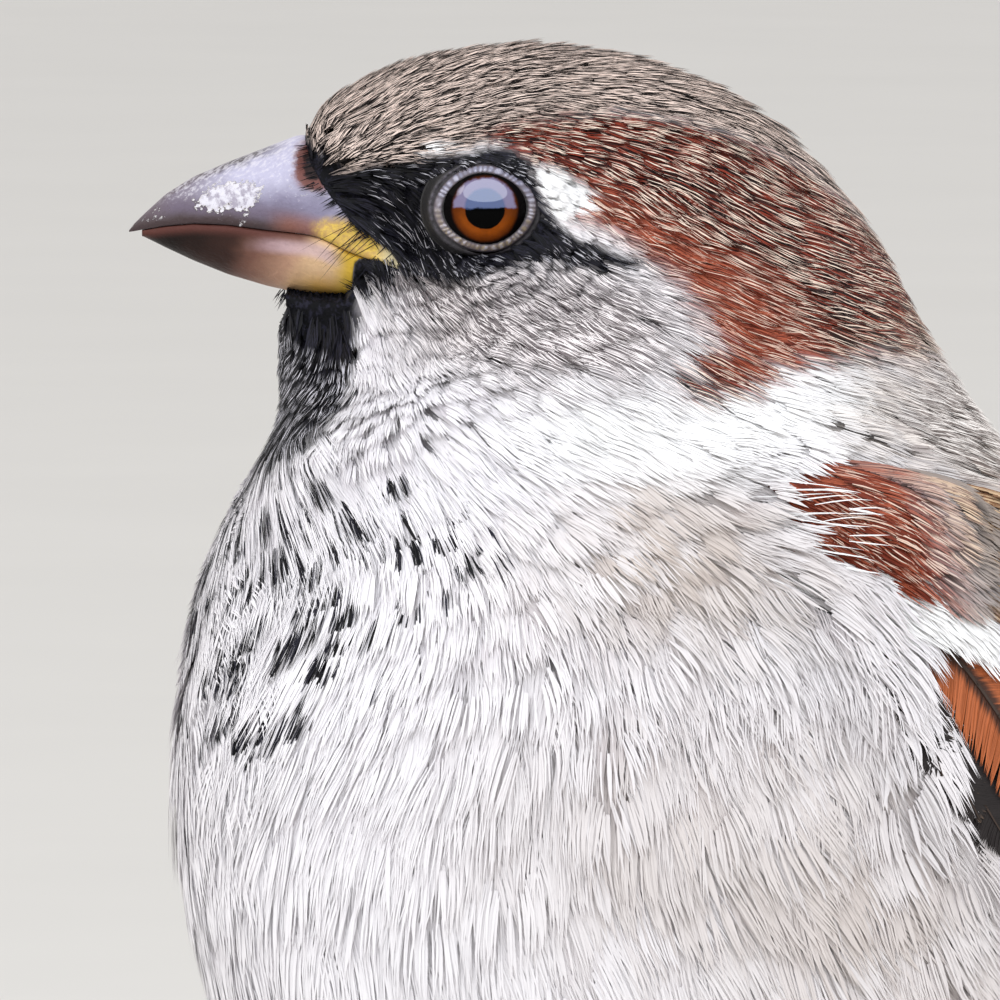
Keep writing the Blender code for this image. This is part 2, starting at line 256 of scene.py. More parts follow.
def shaped_body(station, angle):
    """The body's outer surface, with the face's swellings and hollows."""
    row = along(STATIONS, station)
    back, belly, half_width, low = row[..., 0:2], row[..., 2:4], row[..., 4], row[..., 5]
    rise = np.cos(angle) - low * np.sin(angle) ** 2
    side = (back + belly) / 2 + (back - belly) / 2 * rise[..., None]
    x, y, z = half_width * np.sin(angle), side[..., 0], side[..., 1]
    degrees = side_degrees(angle)
    width = np.abs(x) + spots(FACE_FORMS, station, degrees) * np.abs(np.sin(angle))
    width = np.where(np.abs(x) < 1e-6, 0.0, np.maximum(width, 0.0))
    face = 1.0 - ease(4.5, 5.5, station)
    near = eye_distance(y, z)
    lid = LID_PLANE - 1.3 * (1.0 - ease(2.0, 2.9, near))
    socket_reach = 5.4 + 3.8 * ease(-0.6, 0.9, (y - EYE_Y) / np.maximum(near, 0.1))
    hold = np.where(np.abs(x) > 3, 1.0 - ease(2.7, socket_reach, near), 0.0)
    hold = hold * (1.0 - ease(5.0, 6.2, station))
    width = blend(width, lid, hold)
    bare = depth_inside(BARE_BILL, y, z)
    in_bill = (y < BILL_END_Y) & (np.abs(x) > 1e-6)
    horn = bill_width(y, z, 0.0)
    covered = np.where(in_bill, np.maximum(width, horn + 0.5 * ease(0.2, 1.4, horn)), width)
    away = np.clip(-bare, 0.0, 9.0)
    drawn_in = np.minimum(covered, bill_width(y, z, 0.5) + 0.3 + 0.5 * away)
    outside = blend(drawn_in, covered, ease(1.0, 7.5, away))
    inside = np.minimum(covered, bill_width(y, z, 0.04) - 0.55)
    width = blend(width, blend(outside, inside, ease(0.0, 0.35, bare)), face)
    turn = HEAD_TURN * (1.0 - ease(TURN_ENDS, TURN_BEGINS, station))
    return turned(np.sign(x) * width, y, z, turn), y, z


class Surface:
    """The outer surface sampled once, so that any number of places can be looked up on it."""

    ROWS, COLUMNS = 1141, 720

    def __init__(self):
        self.row_step = LAST_STATION / (self.ROWS - 1)
        self.column_step = 2 * math.pi / self.COLUMNS
        stations = (np.arange(self.ROWS) * self.row_step)[:, None] + np.zeros(self.COLUMNS)
        angles = np.arange(self.COLUMNS) * self.column_step + np.zeros((self.ROWS, 1))
        place, y, z = shaped_body(stations, angles)
        down = np.gradient(place, self.row_step, axis=0)
        round_ = (np.roll(place, -1, axis=1) - np.roll(place, 1, axis=1)) / (2 * self.column_step)
        normal = unit(np.cross(round_, down))
        self.area = np.linalg.norm(np.cross(round_, down), axis=-1)
        self.stations, self.angles = stations, angles
        self.table = np.concatenate([place, normal, down, round_, y[..., None], z[..., None]], axis=-1)

    def look(self, station, angle, first, last):
        row = np.clip(np.asarray(station) / self.row_step, 0, self.ROWS - 1.001)
        column = np.mod(np.asarray(angle) / self.column_step, self.COLUMNS)
        top, left = row.astype(int), column.astype(int) % self.COLUMNS
        right = (left + 1) % self.COLUMNS
        down, over = (row - top)[..., None], (column - np.floor(column))[..., None]
        picked = self.table[..., first:last]
        upper = picked[top, left] * (1 - over) + picked[top, right] * over
        lower = picked[top + 1, left] * (1 - over) + picked[top + 1, right] * over
        return upper * (1 - down) + lower * down

    def place_normal(self, station, angle):
        found = self.look(station, angle, 0, 6)
        return found[..., :3], unit(found[..., 3:6])

    def steps(self, station, angle):
        """Vectors along the surface for one station, and for one radian."""
        found = self.look(station, angle, 6, 12)
        return found[..., :3], found[..., 3:6]

    def unwrap(self, station, angle):
        return body_unwrap(station, angle)

    def head_yz(self, station, angle):
        found = self.look(station, angle, 12, 14)
        return found[..., 0], found[..., 1]


SURFACE = Surface()


def wing_share(station, degrees):
    """1 well inside the folded wing's outline, 0 outside it."""
    upper, lower = keyed(WING_EDGES, station)
    inside = np.minimum(degrees - upper, lower - degrees) / 6.0
    ends = np.minimum(station - WING_EDGES[0, 0], WING_EDGES[-1, 0] - station) / 0.4
    return ease(0.0, 1.0, np.minimum(inside, ends))


DEPTHS = np.array(
    [(0.0, 0.45), (1.0, 0.7), (2.0, 0.9), (3.0, 1.05), (4.0, 1.2), (5.0, 1.35), (6.0, 1.5), (8.0, 1.8),
     (12.0, 2.2), (15.0, 2.0), (18.0, 1.0), (19.0, 0.6)]
)


def coat_depth(station, angle):
    """How far the skin lies under the tips of the coat."""
    depth = keyed(DEPTHS, station)[0]
    y, z = SURFACE.head_yz(station, angle)
    face = 1.0 - ease(4.5, 5.5, station)
    bare = np.maximum(
        1.0 - ease(2.8, 6.0, eye_distance(y, z)), ease(-1.2, 0.0, depth_inside(BARE_BILL, y, z))
    )
    depth = depth * (1.0 - 0.85 * bare * face)
    return blend(depth, 0.5, wing_share(station, side_degrees(angle)))


# ---------------------------------------------------------------- markings


AROUND_BODY, HEAD_SIDE = (6.5, 0.24), (1.0, 1.0)  # millimetres for each step of a place's two numbers


def patch(outline, x, y, soft, scale=AROUND_BODY):
    """1 inside an outline and 0 outside, over a soft edge in millimetres."""
    return ease(-soft, soft, depth_inside(np.array(outline) * scale, x * scale[0], y * scale[1]))


# Outlines on the head's side, as (y, z) of the head before its turn
LORES = [
    (-10.6, 106.6), (-9.0, 106.1), (-8.2, 105.4), (-7.5, 104.6), (-6.7, 104.4), (-6.0, 104.9),
    (-4.9, 105.0), (-3.7, 105.1), (-2.6, 105.5), (-1.7, 105.7), (-0.4, 105.6), (1.1, 106.1),
    (2.6, 105.9), (3.6, 105.0), (4.1, 103.8), (4.6, 102.6), (5.2, 101.5), (6.4, 100.7), (8.0, 100.3),
    (10.4, 99.9), (8.6, 99.4), (7.1, 99.2), (5.1, 99.4), (3.0, 99.2), (1.4, 98.8), (-0.3, 98.4),
    (-2.5, 98.3), (-4.2, 98.5), (-6.5, 100.0), (-10.6, 103.0),
]
GAPE_SPOT = [
    (-7.0, 98.2), (-6.9, 99.6), (-5.6, 99.8), (-4.8, 99.4), (-4.0, 98.9), (-4.2, 97.9), (-5.2, 97.4),
    (-5.9, 97.2), (-7.2, 96.8),
]
BIB = [
    (-12.5, 99.0), (-10.4, 98.5), (-7.0, 98.4), (-6.6, 97.2), (-6.5, 95.0), (-6.8, 93.0), (-7.3, 91.6),
    (-8.5, 90.1), (-9.8, 88.9), (-11.0, 88.0), (-12.5, 87.2), (-15.0, 86.6), (-15.0, 99.0),
]
EYE_STREAK = [
    (3.5, 104.9), (4.5, 105.0), (6.1, 104.2), (7.2, 103.3), (6.9, 102.6), (6.0, 102.2), (5.2, 101.6),
    (4.6, 102.2), (4.1, 103.4),
]
LORE_SPOT = [(-2.7, 105.5), (-2.3, 106.2), (-1.5, 106.4), (-1.0, 106.1), (-1.5, 105.8), (-2.1, 105.6)]
# Outlines over the body, as (station, degrees)
CROWN = [
    (-0.5, -5), (-0.5, 88), (1.0, 88), (2.0, 80), (2.7, 66), (3.3, 50), (4.0, 34), (4.5, 28), (5.0, 21),
    (5.5, 13), (6.0, 5), (6.3, -5),
]
CHESTNUT = [
    (3.0, 53), (3.2, 47), (4.0, 33), (4.5, 27), (5.0, 20), (5.5, 12), (6.0, 4), (6.2, -5), (7.0, -5),
    (6.95, 20), (6.7, 40), (6.58, 58), (6.62, 70), (6.5, 76), (6.32, 73), (6.1, 62), (5.6, 58.5),
    (5.0, 59), (4.45, 62.5), (3.7, 57),
]
PLAIN_RUST = [
    (4.2, 57), (4.8, 52), (5.4, 49), (6.0, 45), (6.5, 50), (6.6, 66), (6.2, 68), (5.6, 60), (5.0, 61),
    (4.4, 64),
]
CHEEK = [
    (3.4, 93), (4.2, 80), (4.9, 66), (5.5, 60), (6.1, 61), (6.4, 70), (6.35, 82), (5.9, 92), (4.9, 101),
    (3.6, 101),
]
COLLAR = [
    (6.35, 78), (6.6, 66), (6.72, 44), (7.1, 42), (7.25, 60), (7.15, 78), (7.0, 92), (6.7, 104), (6.2, 100),
    (6.1, 90),
]
FLECKS = [
    (5.9, 185), (6.0, 146), (6.25, 129), (6.6, 122), (7.0, 120), (7.4, 123), (7.75, 135), (8.1, 150),
    (8.7, 159), (8.9, 170), (8.9, 185),
]
UPPER_SIDE = [
    (6.75, -5), (6.85, 46), (7.2, 58), (8.0, 56), (9.0, 50), (12.0, 50), (15.0, 58), (19.0, 75), (19.0, -5)
]

# The buff wash of the breast's sides, as in FACE_FORMS with shares of colour for heights
BUFF_WASH = (
    (7.75, 104.0, 0.55, 22.0, 0.95),
    (11.0, 100.0, 2.0, 18.0, 0.6),
    (7.2, 96.0, 0.35, 14.0, 0.6),
    (9.8, 112.0, 1.2, 22.0, 0.4),
    (9.4, 132.0, 0.9, 16.0, 0.35),
)
MARKS = {
    # attribute of the coat and skin: the three colours whose shares it holds
    "marks_head": ("crown", "chestnut", "black"),
    "marks_side": ("cheek", "white", "wash"),
    "marks_back": ("mantle", "rump", "fleck"),
    "marks_soft": ("dusk", "bib", "plain"),
}


def marked(zero, **shares):
    """The coat's attributes from the shares of its colours, each of them zero where it isn't given."""
    return {key: stacked(*(shares.get(name, zero) + zero for name in MARKS[key])) for key in MARKS}


def markings(station, angle):
    """The shares of each colour of the coat at a place."""
    degrees = side_degrees(angle)
    y, z = SURFACE.head_yz(station, angle)
    head = 1.0 - ease(5.6, 6.0, station)
    black = np.maximum(patch(LORES, y, z, 0.3, HEAD_SIDE), patch(GAPE_SPOT, y, z, 0.25, HEAD_SIDE)) * head
    bib = patch(BIB, y, z, 0.4, HEAD_SIDE) * head
    crown = patch(CROWN, station, degrees, 0.9)
    chestnut = patch(CHESTNUT, station, degrees, 0.8)
    cheek = patch(CHEEK, station, degrees, 2.6)
    dusk = spot(station, degrees, 4.75, 74.0, 0.5, 12.0)
    dusk = dusk + ease(6.2, 6.8, station) * (1 - ease(7.4, 8.4, station))
    pale = np.maximum(
        patch(EYE_STREAK, y, z, 0.3, HEAD_SIDE), patch(LORE_SPOT, y, z, 0.25, HEAD_SIDE)
    ) * head
    white = np.maximum(patch(COLLAR, station, degrees, 2.6), pale)
    white = np.maximum(white, 0.75 * spot(station, degrees, 6.25, 67.0, 0.22, 6.0))
    mantle = patch(UPPER_SIDE, station, degrees, 3.0)
    wash = np.clip(spots(BUFF_WASH, station, degrees), 0.0, 1.0)
    fleck = patch(FLECKS, station, degrees, 1.0)
    rump = ease(11.5, 13.5, station)
    plain = patch(PLAIN_RUST, station, degrees, 1.4)
    dark = np.maximum(black * (1 - pale), bib)
    crown, chestnut, cheek = crown * (1 - pale), chestnut * (1 - pale), cheek * (1 - pale)
    return marked(
        0.0 * degrees, crown=crown, chestnut=chestnut, black=dark, cheek=cheek, white=white, wash=wash,
        mantle=mantle, rump=rump, fleck=fleck, dusk=dusk, bib=bib, plain=plain,
    )


# Lie of the coat: station, degrees, spread of each, and degrees of turn from tailward towards the belly
LIE = (
    (0.6, 30.0, 0.7, 25.0, -10.0),
    (1.0, 58.0, 0.6, 10.0, -38.0),
    (2.0, 50.0, 0.6, 14.0, -24.0),
    (3.5, 30.0, 0.9, 14.0, -12.0),
    (5.3, 30.0, 0.5, 16.0, -42.0),
    (6.0, 35.0, 0.5, 22.0, -50.0),
    (6.8, 30.0, 0.4, 22.0, -36.0),
    (5.0, 55.0, 0.5, 9.0, -22.0),
    (5.0, 82.0, 0.8, 12.0, -6.0),
    (2.6, 80.0, 0.6, 12.0, 14.0),
    (4.5, 122.0, 0.8, 12.0, 34.0),
    (2.0, 140.0, 0.8, 18.0, 50.0),
    (6.6, 145.0, 0.8, 18.0, 44.0),
    (7.8, 150.0, 0.7, 18.0, 30.0),
    (7.0, 84.0, 0.3, 7.0, -26.0),
    (8.2, 97.0, 0.6, 9.0, 12.0),
    (9.4, 100.0, 0.6, 10.0, -6.0),
    (10.8, 92.0, 1.0, 10.0, -16.0),
)


def lie_turn(station, angle):
    degrees = side_degrees(angle)
    total, weight = 0.0, 0.25
    for at, round_at, spread, round_spread, turn in LIE:
        share = spot(station, degrees, at, round_at, spread, round_spread)
        total = total + share * turn
        weight = weight + share
    side = np.where(np.mod(angle, 2 * math.pi) <= math.pi, 1.0, -1.0)
    return np.radians(total / weight) * side


# ---------------------------------------------------------------- meshes


def new_mesh(name, points, faces, attributes=None, uv=None):
    """A mesh object from arrays. Faces may hold -1 in their last column where they are triangles."""
    data = bpy.data.meshes.new(name)
    points = world(points)
    data.vertices.add(len(points))
    data.vertices.foreach_set("co", points.astype(np.float32).ravel())
    faces = np.asarray(faces)
    sizes = np.full(len(faces), faces.shape[1])
    if faces.shape[1] == 4:
        sizes -= faces[:, 3] < 0
    loops = faces.ravel()
    loops = loops[loops >= 0]
    data.loops.add(len(loops))
    data.loops.foreach_set("vertex_index", loops.astype(np.int32))
    data.polygons.add(len(faces))
    starts = np.concatenate([[0], np.cumsum(sizes)[:-1]])
    data.polygons.foreach_set("loop_start", starts.astype(np.int32))
    data.polygons.foreach_set("loop_total", sizes.astype(np.int32))
    data.update(calc_edges=True)
    data.validate()
    for key, values in (attributes or {}).items():
        layer = data.attributes.new(key, "FLOAT_VECTOR", "POINT")
        layer.data.foreach_set("vector", np.asarray(values, np.float32).ravel())
    if uv is not None:
        layer = data.uv_layers.new(name="OFBake")
        layer.data.foreach_set("uv", np.asarray(uv, np.float32)[loops].ravel())
    data.shade_smooth()
    made = bpy.data.objects.new(name, data)
    bpy.context.scene.collection.objects.link(made)
    return made


def finished(piece, finish, slot, *nodes):
    """Gives a piece its material, hangs it from the root and hides the solids that it replaces; the slot is
    not used.
    """
    piece.data.materials.append(finish)
    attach(piece, "root")
    if nodes:
        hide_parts(*nodes)
    return piece


def round_grid(first, last, rows, columns):
    """A value that runs along the rows and an angle that goes round the columns, as two grids."""
    value = np.linspace(first, last, rows)[:, None] + np.zeros(columns)
    return value, np.arange(columns) * math.tau / columns + np.zeros((rows, 1))


def grid_faces(rows, columns):
    """Quads between the points of a grid whose last column is joined to its first."""
    row, column = np.meshgrid(np.arange(rows - 1), np.arange(columns), indexing="ij")
    after = (column + 1) % columns
    near, far = row * columns, (row + 1) * columns
    return stacked(near + column, near + after, far + after, far + column).reshape(-1, 4)


def loft(name, rings, attributes=None, uv=None):
    """A tube through rings of equal length, closed by a fan at each end."""
    rings = np.asarray(rings, float)
    rows, columns = rings.shape[:2]

    def with_ends(values):
        flat = np.asarray(values, float).reshape(rows * columns, -1)
        return np.concatenate([flat, flat[:1], flat[-1:]])

    points = np.concatenate([rings.reshape(-1, 3), rings[:1].mean(axis=1), rings[-1:].mean(axis=1)])
    first, last, far_base = rows * columns, rows * columns + 1, (rows - 1) * columns
    around = np.arange(columns)
    after = (around + 1) % columns
    filler = np.full(columns, -1)
    near = stacked(after, around, np.full(columns, first), filler)
    far = stacked(far_base + around, far_base + after, np.full(columns, last), filler)
    faces = np.concatenate([grid_faces(rows, columns), near, far])
    marks = {key: with_ends(values) for key, values in (attributes or {}).items()}
    return new_mesh(name, points, faces, marks, None if uv is None else with_ends(uv))


def joined(name, pieces):
    """One mesh object from several, with their attributes kept."""
    bpy.ops.object.select_all(action="DESELECT")
    for piece in pieces:
        piece.select_set(True)
    bpy.context.view_layer.objects.active = pieces[0]
    bpy.ops.object.join()
    pieces[0].name = name
    return pieces[0]


# ---------------------------------------------------------------- paint


def tint(shown):
    """The linear colour that a shader takes, from a colour's three shown values, 0 to 255."""
    shown = np.array(shown) / 255.0
    return (*np.where(shown < 0.04045, shown / 12.92, ((shown + 0.055) / 1.055) ** 2.4).tolist(), 1.0)


class Value:
    """A shader socket that can be used in a sum as a number is."""

    def __init__(self, paint, socket):
        self.paint, self.socket = paint, socket

    def sum(self, operation, *others):
        return self.paint.node("ShaderNodeMath", {"operation": operation}, dict(enumerate(others)))

    def __add__(self, other):
        return self.sum("ADD", self, other)

    def __sub__(self, other):
        return self.sum("SUBTRACT", self, other)

    def __rsub__(self, other):
        return self.sum("SUBTRACT", other, self)

    def __mul__(self, other):
        return self.sum("MULTIPLY", self, other)

    def __abs__(self):
        return self.sum("ABSOLUTE", self)

    __radd__, __rmul__ = __add__, __mul__

    def most(self, other):
        return self.sum("MAXIMUM", self, other)

    def rise(self, low, high):
        """0 below low and 1 above high, with a smooth step between."""
        settings = {"interpolation_type": "SMOOTHSTEP"}
        return self.paint.node("ShaderNodeMapRange", settings, {0: self, 1: low, 2: high})


class Paint:
    """A material whose colours are worked out in expressions."""

    def __init__(self, name):
        self.material = bpy.data.materials.new(name)
        self.material.use_nodes = True
        self.tree = self.material.node_tree
        self.shader = self.tree.nodes["Principled BSDF"]

    def put(self, socket, value):
        if isinstance(value, Value):
            self.tree.links.new(value.socket, socket)
        else:
            socket.default_value = value

    def node(self, kind, settings, values, output=0):
        made = self.tree.nodes.new(kind)
        for key, value in settings.items():
            setattr(made, key, value)
        for key, value in values.items():
            self.put(made.inputs[key], value)
        return Value(self, made.outputs[output])

    def parts(self, attribute):
        """The three numbers of a mesh attribute."""
        found = self.node("ShaderNodeAttribute", {"attribute_name": attribute}, {}, "Vector")
        return [self.node("ShaderNodeSeparateXYZ", {}, {0: found}, part) for part in range(3)]

    def mix(self, one, two, share):
        """A blend of two colours, each worked out before or given as its three shown values."""
        one, two = (tint(colour) if isinstance(colour, tuple) else colour for colour in (one, two))
        settings = {"data_type": "RGBA", "clamp_factor": True}
        return self.node("ShaderNodeMix", settings, {0: share, 6: one, 7: two}, 2)

    def over(self, colour, *coats):
        """A colour with others laid over it in turn, each by its share."""
        for coat, share in coats:
            colour = self.mix(colour, coat, share)
        return colour

    def scaled(self, colour, amount):
        return self.node("ShaderNodeVectorMath", {"operation": "SCALE"}, {0: colour, 3: amount})

    def noise(self, scale, detail=2.0, rough=0.5, stretch=None):
        """A noise over the object's own space, with the scale in bumps for each millimetre."""
        place = self.node("ShaderNodeTexCoord", {}, {}, "Object")
        if stretch:
            place = self.node("ShaderNodeVectorMath", {"operation": "MULTIPLY"}, {0: place, 1: stretch})
        values = {"Vector": place, "Scale": scale / MM, "Detail": detail, "Roughness": rough}
        return self.node("ShaderNodeTexNoise", {}, values)

    def bump(self, height, distance, strength=1.0):
        values = {"Height": height, "Distance": distance * MM, "Strength": strength}
        return self.node("ShaderNodeBump", {}, values)

    def finish(self, **values):
        """Sets the shader's sockets, named with _ for a space, and gives the material."""
        for key, value in values.items():
            self.put(self.shader.inputs[key.replace("_", " ").title().replace("Ior", "IOR")], value)
        return self.material


def plumage(paint, share, across, tone, barb_tone, chance):
    """The colour of the small feathers from the markings, the place on the feather, and chance."""
    crown, chestnut, black = paint.parts("marks_head")
    cheek, white, wash = paint.parts("marks_side")
    mantle, rump, fleck = paint.parts("marks_back")
    dusk, bib, plain = paint.parts("marks_soft")
    neck = mantle * dusk
    tip = share.rise(0.62, 0.98)
    middle = 1 - abs(across).rise(0.12, 0.5)
    line = barb_tone.rise(0.2, 0.8)
    fringe = share.rise(0.55, 0.85) * (barb_tone + 0.15 * chance).rise(0.79, 0.85) * (1 - 0.3 * plain)
    # pale: light barb ends in the black of the face and bib, partly real pale fringes and partly painted
    # glints of light.
    pale = share.rise(0.6, 0.9) * (barb_tone + 0.16 * bib).rise(0.82, 0.9) * (0.7 + 0.3 * bib)
    blot = fleck * tone.rise(0.42, 0.44) * (1 - abs(share - 0.84).rise(0.07, 0.2))
    blot = blot * (1 - abs(across).rise(0.14, 0.44))
    grey = paint.over(
        paint.mix((118, 108, 110), (248, 240, 240), (line + 0.15 * tip).rise(0.05, 0.95)),
        ((104, 98, 102), dusk * cheek * 0.8 * (1 - 0.6 * line)),
    )
    streak = paint.mix((30, 23, 22), (238, 216, 204), (line + 0.2 * tip - 0.1).rise(0.35, 0.75))
    rust = paint.over(
        paint.mix((30, 9, 8), (140, 52, 32), (0.65 * line + 0.35 * tone).rise(0.2, 0.75)),
        (paint.mix((118, 45, 28), (182, 94, 66), line), plain),
        ((244, 222, 204), fringe),
    )
    back = paint.over(
        paint.mix((132, 92, 62), (206, 176, 142), line),
        ((150, 138, 130), chance.rise(0.5, 0.7)),
        (paint.mix((128, 116, 112), (244, 238, 234), line), neck),
        ((34, 27, 25), middle * tone.rise(0.22, 0.3) * (1 - 0.7 * tip) * (1 - neck)),
        (paint.mix((112, 100, 92), (160, 148, 138), line), rump),
    )
    # The black runs from near black to a bluish grey by barb: partly chance barb tone, partly a painted
    # bluish sheen.
    dark = paint.mix((7, 7, 12), (36, 35, 48), barb_tone.rise(0.4, 1.0))
    colour = paint.over(
        paint.mix((232, 228, 231), (241, 238, 242), share.rise(0.3, 0.9)),
        ((214, 208, 214), 0.6 * tone.rise(0.55, 0.95) * (1 - share.rise(0.6, 0.95))),
        ((246, 243, 246), tip * 0.6),
        ((196, 182, 172), wash * (0.4 + 0.5 * tone)),
        (paint.mix((232, 229, 229), (252, 251, 251), share.rise(0.1, 0.5)), white),
        (grey, cheek * (1 - white)),
        (streak, crown),
        (rust, chestnut),
        (back, mantle),
        # The black face and bib with pale barb ends, partly real fringes and partly painted glints.
        (paint.mix(dark, (214, 212, 220), pale), black),
        (dark, (blot + 0.5 * (barb_tone - 0.5)).rise(0.38, 0.46)),
    )
    return paint.scaled(colour, 0.96 + 0.05 * barb_tone)


def coat_paint():
    """The plumage of each barb, darker along its edges as painted shade, most on the crown and cheek."""
    paint = Paint("coat of small feathers")
    edge, share, across = paint.parts("strand")
    tone, barb_tone, chance = paint.parts("chance")
    crown, chestnut, black = paint.parts("marks_head")
    edge_shade_strength = crown.most(chestnut).most(0.5 * paint.parts("marks_side")[0])
    # Painted shade: each barb is darkened towards its edges, as though it were round and the gaps between
    # barbs lay in shadow.
    rim = abs(edge).rise(0.35, 1.0) * (0.03 + 0.43 * edge_shade_strength)
    colour = paint.scaled(plumage(paint, share, across, tone, barb_tone, chance), 1 - rim)
    return paint.finish(base_color=colour, roughness=0.5 + 0.2 * barb_tone, specular_ior_level=0.2)


def skin_paint():
    """The same plumage as down, for what shows of the skin between the feathers."""
    paint = Paint("skin and down")
    fine = paint.noise(2.4, 3.0, 0.6)
    coarse = paint.noise(0.35, 2.0, 0.5)
    share = 0.1 + 0.35 * coarse
    colour = plumage(paint, share, 0.8 * coarse, coarse.rise(0.3, 0.7), fine.rise(0.3, 0.7), 0.4 * fine)
    colour = paint.scaled(colour, 0.9 + 0.08 * fine)
    bump = paint.bump(fine, 0.12)
    return paint.finish(base_color=colour, roughness=0.7 + 0.2 * fine, normal=bump, specular_ior_level=0.2)


# ---------------------------------------------------------------- the coat


PATCH_HALF = 0.0015


def body_unwrap(station, angle):
    """The place of a point of the body on the skin's own unwrap."""
    column = np.mod(angle, math.tau) / math.tau
    return stacked(station / LAST_STATION * 0.98 + 0.01, column * 0.98 + 0.01)


def bake_patch(root, aside, ahead):
    """The small patch of a tuft round its root's place on the unwrap."""
    return root + PATCH_HALF * stacked(ahead, aside)


class Strands:
    """Collects flat, tapering strands and makes them one mesh, shaded as softly as the body under them."""

    def __init__(self, soft=0.62):
        self.soft = soft
        self.points, self.normals, self.faces, self.attributes, self.uv, self.count = [], [], [], {}, [], 0

    def add(self, lines, ways, normals, widths, attributes, uv):
        """Adds strands: their lines, the ways across them and the normals (n, steps, 3), and the widths."""
        number, steps = lines.shape[:2]
        last = steps - 1
        side = ways * widths[..., None] / 2
        points = np.concatenate(
            [(lines - side)[:, :last], (lines + side)[:, :last], lines[:, last:]], axis=1
        )
        row = np.arange(last - 1)
        quads = stacked(row, row + last, row + last + 1, row + 1)
        pattern = np.concatenate([quads, [[last - 1, 2 * last - 1, 2 * last, -1]]])
        size = 2 * last + 1
        base = (self.count + np.arange(number) * size)[:, None, None]
        order = np.concatenate([np.arange(last), np.arange(last), [last]])
        own = unit(np.cross(ways, np.gradient(lines, axis=1)))
        own = np.where((np.sum(own * normals, axis=-1) < 0)[..., None], -own, own)
        soft = unit(blend(own, normals, self.soft))
        self.points.append(points.reshape(-1, 3))
        self.normals.append(soft[:, order].reshape(-1, 3))
        self.faces.append(np.where(pattern >= 0, pattern + base, -1).reshape(-1, 4))
        edge = np.concatenate([np.full(last, -1.0), np.full(last, 1.0), [0.0]])
        for key, values in attributes.items():
            picked = values[:, order] if values.ndim == 3 else np.repeat(values[:, None], size, axis=1)
            if key == "strand":
                picked[..., 0] = edge
            self.attributes.setdefault(key, []).append(picked.reshape(number * size, -1))
        self.uv.append(uv[:, order].reshape(-1, 2))
        self.count += number * size

    def make(self, name):
        attributes = {key: np.concatenate(values) for key, values in self.attributes.items()}
        points, faces = np.concatenate(self.points), np.concatenate(self.faces)
        piece = new_mesh(name, points, faces, attributes, np.concatenate(self.uv))
        piece.data.normals_split_custom_set_from_vertices(np.concatenate(self.normals).astype(np.float32))
        return piece


NEIGHBOURS = [(dx, dy, dz) for dx in (-1, 0, 1) for dy in (-1, 0, 1) for dz in (-1, 0, 1)]


def spread_roots(chance, spacing, wanted, limit):
    """Places over the body, no two nearer than the spacing there, in a random but even spread."""
    surface = SURFACE
    gaps = spacing(surface.stations, surface.angles)
    want = wanted(surface.stations, surface.angles) * surface.area / gaps**2
    odds = (want / want.sum()).ravel()
    picks = chance.choice(odds.size, size=limit, p=odds)
    station = surface.stations.ravel()[picks] + chance.uniform(-0.5, 0.5, limit) * surface.row_step
    angle = surface.angles.ravel()[picks] + chance.uniform(-0.5, 0.5, limit) * surface.column_step
    place = surface.place_normal(station, angle)[0]
    apart = spacing(station, angle)
    keys = np.floor(place / float(apart.max())).astype(int).tolist()
    kept, cells = [], {}

    def crowded(index, x, y, z):
        for dx, dy, dz in NEIGHBOURS:
            for other in cells.get((x + dx, y + dy, z + dz), ()):
                gap = place[other] - place[index]
                if gap @ gap < apart[index] ** 2:
                    return True
        return False

    for index, key in enumerate(keys):
        if not crowded(index, *key):
            kept.append(index)
            cells.setdefault(tuple(key), []).append(index)
    return station[kept], angle[kept]


def surface_steps(down, round_, vector):
    """The steps in station and angle that make a vector along the surface."""
    dd, rr, dr = (
        np.sum(one * two, axis=-1) for one, two in ((down, down), (round_, round_), (down, round_))
    )
    vd, vr = np.sum(vector * down, axis=-1), np.sum(vector * round_, axis=-1)
    solve = dd * rr - dr * dr
    return (vd * rr - vr * dr) / solve, (vr * dd - vd * dr) / solve


def feather_frame(surface, station, angle, turn):
    """Steps in station and angle for one millimetre along a feather, and for one across it."""
    down, round_ = surface.steps(station, angle)
    ahead = unit(down)
    normal = unit(np.cross(round_, down))
    aside = np.cross(ahead, normal)
    aside = np.where((np.sum(aside * round_, axis=-1) < 0)[..., None], -aside, aside)
    way = ahead * np.cos(turn)[..., None] + aside * np.sin(turn)[..., None]
    cross = -ahead * np.sin(turn)[..., None] + aside * np.cos(turn)[..., None]
    return surface_steps(down, round_, way), surface_steps(down, round_, cross)


BACKING_EVERY = 4  # one pair of barbs in so many is wide and lies under the others


